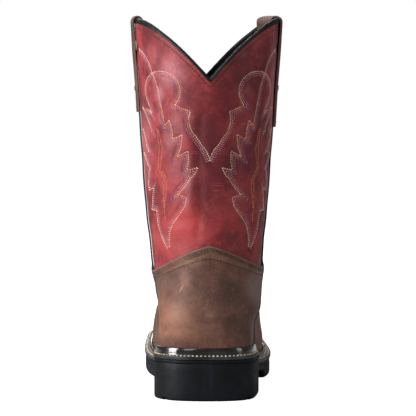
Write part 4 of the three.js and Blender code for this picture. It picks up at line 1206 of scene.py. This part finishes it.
def strap_middle(side, share):
    """The strap's middle surface at shares across it, as a grid of points from foot to foot."""
    share = np.asarray(share, float)[:, None]
    flare = mix(*STRAP_FLARE[side], share + 0.5)
    middle_seat = CLEARANCE * 2 + PIPING_PROUD + STRAP_THICKNESS / 2
    edge_seat = CLEARANCE + STRAP_THICKNESS / 2
    inside_seat = WALL + BINDING_PROUD + CLEARANCE + STRAP_THICKNESS / 2
    peak = float(turn_of_y(seam_y(TOP_RING), side, TOP_RING))
    outer_foot = float(level_at(lambda level: np.array(peak), np.array(COLLAR_PEAK - STRAP_OUTER[side])))
    inner_foot = float(level_at(lambda level: np.array(peak), np.array(COLLAR_PEAK - STRAP_INNER)))

    def at(level, out):
        level = np.broadcast_to(level, (len(share), np.shape(level)[-1]))
        turn = turn_of_y(seam_y(level) + share * STRAP_WIDTH, side, level)
        return proud(turn, level, np.broadcast_to(out, level.shape))

    lift = strap_lift(share)
    seat = mix(edge_seat, middle_seat, lift)
    step = np.linspace(0, 1, STRAP_OUTER_STEPS)[None, :]
    outer = at(mix(outer_foot, TOP_RING, step), seat + BINDING_PROUD * (1 - lift) * ease(3 * step - 2))
    start = outer[:, -1]
    end = at(np.array([[TOP_RING]]), -inside_seat - flare)[:, 0]
    apex = COLLAR_PEAK + CLEARANCE + BINDING_HEIGHT + STRAP_RISE - STRAP_THICKNESS
    angle = np.linspace(0, np.pi, STRAP_LOOP_STEPS)
    loop = (start + end)[:, None, :] / 2 + (start - end)[:, None, :] / 2 * np.cos(angle)[None, :, None]
    base = np.maximum(start[:, 2], end[:, 2])[:, None]
    loop[..., 2] = base + CLEARANCE + (apex - base - CLEARANCE) * np.sin(angle)[None, :] ** 0.8
    down = np.linspace(0, 1, STRAP_INNER_STEPS + 1)[None, 1:]
    inner = at(mix(TOP_RING, inner_foot, down), -inside_seat - flare * (1 - ease(down)))
    return np.concatenate([outer, loop, inner], axis=1)


def strap_normals(grid, side):
    along = np.gradient(grid, axis=1)
    across = np.gradient(grid, axis=0)
    return unit(np.cross(across, along) * side)


def make_strap(name, side):
    shares = np.unique(STRAP_SECTION[:, 0])
    grid = strap_middle(side, shares)
    normals = strap_normals(grid, side)
    column = np.searchsorted(shares, STRAP_SECTION[:, 0])
    half = STRAP_SECTION[:, 1][:, None] * STRAP_THICKNESS / 2
    on_outside = np.arange(grid.shape[1]) < STRAP_OUTER_STEPS
    tack = np.exp(-((grid[column][..., 2] - STRAP_TACK_HEIGHT) / 1.7) ** 2) * on_outside
    edge = np.exp(-((np.abs(STRAP_SECTION[:, 0]) - 0.4) / 0.03) ** 2)[:, None] * 0.16
    high = np.where(half > 0, half * (1 + 0.75 * tack) - edge * (half > 0.5), half)
    points = grid[column] + normals[column] * high[..., None]
    count, steps = points.shape[:2]
    faces = grid_faces(count, steps, wrap=True)
    if side < 0:
        faces = faces[:, ::-1]
    caps = [[i * steps for i in range(count)], [i * steps + steps - 1 for i in range(count)][::-1]]
    base = grid[column]
    # Darker tone all along the strap, darker still just under the loop as painted shade, and pale on the
    # loop's crown as a painted highlight.
    weights = {
        "dark": 0.35 + 0.3 * np.exp(-((base[..., 2] - 296) / 8) ** 2),
        "bright": np.zeros(base.shape[:-1]),
        "pale": 0.5 * np.exp(-((base[..., 2] - 305) / 4) ** 2),
        # The strap's rounded sides take the folded edge's grey-brown, partly a painted highlight.
        "edge": np.repeat((np.abs(STRAP_SECTION[:, 0]) > 0.47)[:, None] * 0.5, steps, axis=1),
        "scuff": np.zeros(base.shape[:-1]),
    }
    make_piece(name, points, faces.tolist() + caps, BROWN, [name], weights, sharp=70)
    runs = []
    for share in (-0.4, 0.4):
        pair = strap_middle(side, [share - 0.02, share, share + 0.02])
        normal = strap_normals(pair, side)[1]
        line = spaced(np.hstack([pair[1] + normal * (STRAP_THICKNESS / 2 - 0.1), normal]), 2.6)
        runs.append((line[:, :3], line[:, 3:6]))
    pair = strap_middle(side, np.linspace(-0.38, 0.38, 15))
    normal = strap_normals(pair, side)
    foot_height = COLLAR_PEAK - STRAP_OUTER[side] + 3
    for height in (STRAP_TACK_HEIGHT + 1.2, STRAP_TACK_HEIGHT - 1.2, foot_height):
        step = int(np.argmin(np.abs(pair[7, :STRAP_OUTER_STEPS, 2] - height)))
        out = STRAP_THICKNESS / 2 + (0.5 if abs(height - STRAP_TACK_HEIGHT) < 2 else 0.0)
        line = spaced(np.hstack([pair[:, step] + normal[:, step] * out, normal[:, step]]), 2.0)
        runs.append((line[:, :3], line[:, 3:6]))
    make_stitches(name + "_stitches", runs, DARK_THREAD,
                  width=0.75, height=0.28, fill=0.8)


def make_strap_shade_pad(name, side):
    """A black fill between the strap's loop and the collar: partly the strap's black lining, partly painted
    shade inside the loop, so that nothing shows through it.
    """
    share = np.linspace(-0.47, 0.47, 21)
    grid = strap_middle(side, share)
    inward = -strap_normals(grid, side) * (STRAP_THICKNESS / 2 + 0.12)
    lid = (grid + inward)[:, STRAP_SHADE_PAD_STEPS]
    closing = np.linspace(0, 1, 12)[None, :]
    height = mix(lid[:, -1:, 2], lid[:, :1, 2], closing)
    turn = turn_of_y(seam_y(TOP_RING) + share[:, None] * STRAP_WIDTH * 0.98, side, TOP_RING)
    turn = turn + 0 * closing
    level = level_at(lambda one: turn, height)
    wall = proud(turn, level, np.full(turn.shape, -WALL / 2))
    points = np.concatenate([lid, wall], axis=1)
    count, steps = points.shape[:2]
    faces = grid_faces(steps, count, wrap=True)
    caps = [[i * count for i in range(steps)], [i * count + count - 1 for i in range(steps)][::-1]]
    ordered = np.swapaxes(points, 0, 1)
    if side > 0:
        faces = faces[:, ::-1]
        caps = [cap[::-1] for cap in caps]
    make_piece(name, ordered, faces.tolist() + caps, BLACK, sharp=50)


# The storm welt. Its section goes from the outer edge's foot, over the strip and its stitch
# groove, up the bead and down the leather: share of the way in, height over the strip, bead share.
WELT_SECTION = np.array([
    (0.0, -2.5, 0.0), (0.0, -1.5, 0.0), (-0.015, -1.3, 0.0), (-0.015, -0.55, 0.0), (0.0, -0.2, 0.0),
    (0.035, 0.0, 0.0), (0.12, 0.14, 0.0), (0.22, 0.3, 0.0), (0.27, 0.3, 0.0), (0.3, 0.08, 0.0),
    (0.35, 0.08, 0.0), (0.385, 0.42, 0.0), (0.44, 0.6, 0.0), (0.475, 0.66, 0.0), (0.5, 0.7, 0.1),
    (0.525, 0.35, 0.36), (0.56, 0.2, 0.6), (0.61, 0.1, 0.8), (0.68, 0.0, 0.94), (0.76, 0.0, 1.0),
    (0.84, 0.0, 1.0), (0.91, 0.0, 0.96), (0.97, 0.0, 0.88), (1.0, 0.0, 0.78)])
WELT_STRIP_STEPS = 13
WELT_COLUMNS = 520


def welt_frames(count):
    """Edge points and inner points of the welt at turns round the sole."""
    turns = np.arange(count) * 4 / count
    side, share = turn_share(turns, np.zeros(count))
    x, y = outline_point(share, side, 0.0, 0.0)
    edge = np.stack([x, y, welt_top(y)], axis=-1)
    foot = around(turns, np.zeros(count))
    bead = level_at(lambda level: turns, foot[:, 2] + WELT_THICKNESS + bead_height(foot[:, 1]) * 0.85)
    inner = proud(turns, bead, np.full(count, 2 * CLEARANCE + OVERLAY))
    return edge, inner


def welt_point(edge, inner, share, up, bead):
    """A point of the welt's section."""
    point = mix(edge, inner, share)
    point[..., 2] = mix(welt_top(edge[..., 1]), welt_top(inner[..., 1]), share) + up
    point[..., 2] += bead * bead_height(edge[..., 1])
    return point


def make_welt():
    edge, inner = welt_frames(WELT_COLUMNS)
    rows = [welt_point(edge, inner, share, up, bead) for share, up, bead in WELT_SECTION]
    points = np.stack(rows, axis=1)
    faces = grid_faces(WELT_COLUMNS, len(rows), wrap=True)
    piece = make_piece("welt", points, faces, [WELT, BEAD], ["welt"], sharp=60)
    step = np.tile(np.arange(len(rows) - 1), WELT_COLUMNS)
    piece.data.polygons.foreach_set("material_index", (step >= WELT_STRIP_STEPS).astype(np.int32))
    edge, inner = welt_frames(1200)
    seat = welt_point(edge, inner, 0.325, 0.22, 0.0)
    ahead = np.roll(seat, -1, axis=0) - np.roll(seat, 1, axis=0)
    across = inner - edge
    across[:, 2] = 0.6
    normals = unit(np.cross(ahead, across))
    normals *= np.sign(normals[:, 2:3])
    closed = np.vstack([np.hstack([seat, normals]), np.hstack([seat[:1], normals[:1]])])
    line = spaced(closed, 3.3)
    make_stitches("welt_stitches", [(line[:, :3], unit(line[:, 3:6]))], WELT_THREAD,
                  width=1.5, height=1.0, fill=0.66)


# Sole pieces from stacked loops of the outline.
def sole_loop(count, heel, toe, height_at):
    turns = np.arange(count) * 4 / count
    side, share = turn_share(turns, np.zeros(count))
    x, y = outline_point(share, side, heel, toe)
    return np.stack([x, y, height_at(y)], axis=-1)


def stacked(loops):
    """Points and faces of a slab. Its caps are strips across the sole."""
    count = len(loops[0])
    points = np.concatenate(loops)
    levels = len(loops)
    i = np.arange(count)
    following = (i + 1) % count
    faces = []
    for k in range(levels - 1):
        a = k * count
        faces += np.stack([a + i, a + following, a + count + following, a + count + i], axis=1).tolist()
    for base, flip in ((0, True), ((levels - 1) * count, False)):
        for k in range(count // 2):
            corners = [k, k + 1, (count - k - 1) % count, (count - k) % count]
            face = [base + corner for corner in dict.fromkeys(corners)]
            if len(face) > 2:
                faces.append(face[::-1] if flip else face)
    return points, faces


OUTSOLE_SIDE = [
    (0.0, 2.6), (0.012, 1.7), (0.035, 1.05), (0.07, 0.55), (0.12, 0.2), (0.2, 0.04), (0.4, 0.0), (0.62, 0.0),
    (0.66, 0.1), (0.69, 0.5), (0.72, 0.75), (0.78, 0.75), (0.81, 0.5), (0.84, 0.08), (0.87, 0.0), (0.97, 0.0),
    (1.0, 0.25)]


def prism(corners, low, high):
    """Points and faces of an upright prism over a plan outline that runs anticlockwise."""
    count = len(corners)
    points = [(x, y, low) for x, y in corners] + [(x, y, high) for x, y in corners]
    i = list(range(count))
    sides = [[k, (k + 1) % count, count + (k + 1) % count, count + k] for k in i]
    return points, [i[::-1], [count + k for k in i], *sides]


def joined(blocks):
    points = []
    faces = []
    for block_points, block_faces in blocks:
        faces += [[len(points) + k for k in face] for face in block_faces]
        points += block_points
    return points, faces


def make_outsole():
    loops = [
        sole_loop(440, OUTSOLE_INSET + inset * 0.25, OUTSOLE_INSET + inset,
                  lambda y, up=up: mix(outsole_bottom(y), outsole_top(y), up))
        for up, inset in OUTSOLE_SIDE]
    points, faces = stacked(loops)
    piece = make_piece("outsole", points, faces, RUBBER, ["outsole"], sharp=35)
    first = TREAD_START + TREAD_MARGIN
    pitch = (SOLE_LENGTH - TREAD_MARGIN - first) / (GROOVE_COUNT - 1)
    half = GROOVE_WIDTH / 2
    blocks = []
    for i in range(GROOVE_COUNT):
        y = first + i * pitch
        middle = float(centre_at(y))
        left = middle - BALL_WIDTH
        right = middle + BALL_WIDTH
        corners = [
            (left, y - CHEVRON_DEPTH - half), (middle, y - half), (right, y - CHEVRON_DEPTH - half),
            (right, y - CHEVRON_DEPTH + half), (middle, y + half), (left, y - CHEVRON_DEPTH + half)]
        blocks.append(prism(corners, -2 * TREAD_DEPTH, float(spring_at(y)) + TREAD_DEPTH))
    cut_away(piece, "tread_grooves", *joined(blocks))


def make_heel():
    loops = [sole_loop(440, OUTSOLE_INSET + inset, OUTSOLE_INSET + inset, height) for inset, height in (
        (1.0, lambda y: 0 * y), (0.55, lambda y: 0 * y + 0.25), (0.2, lambda y: 0 * y + 0.8),
        (0.0, lambda y: 0 * y + 2.0), (0.0, lambda y: 0 * y + 9.0), (0.0, lambda y: 0 * y + 16.0),
        (0.0, lambda y: heel_top(y) - 5.5), (0.0, lambda y: heel_top(y) - 0.7),
        (0.35, lambda y: heel_top(y)))]
    points, faces = stacked(loops)
    piece = make_piece("heel", points, faces, RUBBER, ["heel"], sharp=35)
    middle = float(centre_at(HEEL_SEAT_LENGTH))
    share = np.linspace(-1, 1, 25)
    breast = [
        (middle + s * HEEL_WIDTH / 2, HEEL_SEAT_LENGTH - BREAST_HOLLOW * (1 - s ** 2)) for s in share]
    corners = [
        (middle - BALL_WIDTH, HEEL_SEAT_LENGTH), *breast, (middle + BALL_WIDTH, HEEL_SEAT_LENGTH),
        (middle + BALL_WIDTH, 2 * SOLE_LENGTH), (middle - BALL_WIDTH, 2 * SOLE_LENGTH)]
    cut_away(piece, "breast_block", *prism(corners, -HEEL_HEIGHT, 2 * HEEL_HEIGHT))
    pitch = HEEL_SEAT_LENGTH / (HEEL_GROOVE_COUNT + 1)
    blocks = []
    for i in range(HEEL_GROOVE_COUNT):
        y = pitch * (i + 0.62)
        half = GROOVE_WIDTH / 2
        corners = [
            (-HEEL_WIDTH, y - half), (HEEL_WIDTH, y - half), (HEEL_WIDTH, y + half), (-HEEL_WIDTH, y + half)]
        blocks.append(prism(corners, -TREAD_DEPTH, TREAD_DEPTH))
    cut_away(piece, "heel_grooves", *joined(blocks))


def make_insole():
    margin_heel = MARGIN_HEEL + WALL + INSOLE_MARGIN
    margin_toe = MARGIN_TOE + WALL + INSOLE_MARGIN
    share = (1 - np.cos(np.linspace(0, np.pi, 120))) / 2
    across = np.linspace(-1, 1, 31)
    along, cross = np.meshgrid(share, across, indexing="ij")
    round_side = np.sin(across * np.pi / 2)[None, :]
    half = outline_half(along, margin_heel, margin_toe)
    y = mix(margin_heel, SOLE_LENGTH - margin_toe, along)
    x = centre_at(y) + round_side * half
    turned = y - round_side * half * heading_at(y)
    z = feather(turned) + INSOLE_THICKNESS - 0.5 * (1 - np.abs(round_side) ** 3)
    z = np.where(np.abs(cross) > 0.999, feather(turned), z)
    points = np.stack([x, turned, z], axis=-1)
    faces = grid_faces(len(share), len(across))[:, ::-1]
    make_piece("insole", points, faces, INSOLE, ["insole"])


make_shaft()
make_lining()
make_overlay("counter", False, 190, 66)
make_overlay("vamp", True, 330, 96)
top_stitches("counter_stitches", False)
top_stitches("vamp_stitches", True)
make_piping("piping_lateral", 1)
make_piping("piping_medial", -1)
make_binding()
make_strap("pull_strap_lateral", 1)
make_strap("pull_strap_medial", -1)
# Black fills in the strap loops, partly their black lining and partly painted shade inside them.
make_strap_shade_pad("strap_shade_pad_lateral", 1)
make_strap_shade_pad("strap_shade_pad_medial", -1)
make_welt()
make_outsole()
make_heel()
make_insole()
for colour_name, colour_thread in (("cream", CREAM), ("orange", ORANGE), ("lavender", LAVENDER)):
    make_stitches("embroidery_" + colour_name, embroidery_runs(colour_name), colour_thread,
                  width=1.0, height=0.42, fill=0.68, slant=0.3)


# The stage: a pale floor, soft lights and the photograph's viewpoint.
def make_floor():
    shader = Shader("floor", Roughness=0.9, Specular_IOR_Level=0.1)
    shader.surface.inputs["Emission Color"].default_value = (1, 1, 1, 1)
    path = shader.tree.nodes.new("ShaderNodeLightPath")
    glow = shader.math("MULTIPLY", path.outputs["Is Camera Ray"], 0.96)
    shader.feed(shader.surface.inputs["Emission Strength"], glow)
    cloud = shader.noise(1.5, 2.0)
    shader.colour(shader.blend(shader.ramp(cloud, 0.3, 0.7), (0.5, 0.5, 0.5), (0.54, 0.54, 0.54)))
    mesh = bpy.data.meshes.new("floor")
    reach = 6.0
    corners = [(-reach, -reach, 0), (reach, -reach, 0), (reach, reach, 0), (-reach, reach, 0)]
    mesh.from_pydata(corners, [], [(0, 1, 2, 3)])
    mesh.materials.append(shader.material)
    floor = bpy.data.objects.new("floor", mesh)
    bpy.context.scene.collection.objects.link(floor)


def soft_light(name, place, width, height, watts, aim=(0.0, 0.05, 0.16)):
    light = bpy.data.lights.new(name, "AREA")
    light.shape = "RECTANGLE"
    light.size = width
    light.size_y = height
    light.energy = watts
    lamp = bpy.data.objects.new(name, light)
    lamp.location = place
    lamp.rotation_euler = (Vector(aim) - Vector(place)).to_track_quat("-Z", "Y").to_euler()
    bpy.context.scene.collection.objects.link(lamp)


def make_world():
    """A white surround that lights the boot only softly."""
    world = bpy.data.worlds.new("studio")
    world.use_nodes = True
    tree = world.node_tree
    back = tree.nodes["Background"]
    path = tree.nodes.new("ShaderNodeLightPath")
    share = tree.nodes.new("ShaderNodeMapRange")
    tree.links.new(path.outputs["Is Camera Ray"], share.inputs["Value"])
    share.inputs["To Min"].default_value = 0.12
    share.inputs["To Max"].default_value = 1.0
    tree.links.new(share.outputs["Result"], back.inputs["Strength"])
    back.inputs["Color"].default_value = (1, 1, 1, 1)
    bpy.context.scene.world = world


make_floor()
make_world()
soft_light("key_left", (-2.2, -0.8, 0.9), 1.0, 1.6, 62.0)
soft_light("near_left", (-1.1, -2.2, 1.3), 0.9, 1.2, 9.0)
soft_light("fill_right", (2.0, -0.9, 0.7), 0.7, 1.2, 6.0)
soft_light("top", (0.0, 0.2, 2.0), 1.2, 1.2, 10.0)
soft_light("front", (-0.4, 2.2, 1.2), 1.4, 1.2, 14.0)

camera = bpy.data.cameras.new("camera")
camera.lens = 240.1
camera.sensor_width = 36.0
camera_object = bpy.data.objects.new("camera", camera)
camera_object.location = (0.0016, -2.24, 0.2879)
camera_object.rotation_euler = (np.radians(90 - 3.46), 0, 0)
bpy.context.scene.collection.objects.link(camera_object)
bpy.context.scene.camera = camera_object
bpy.context.scene.view_settings.view_transform = "Standard"
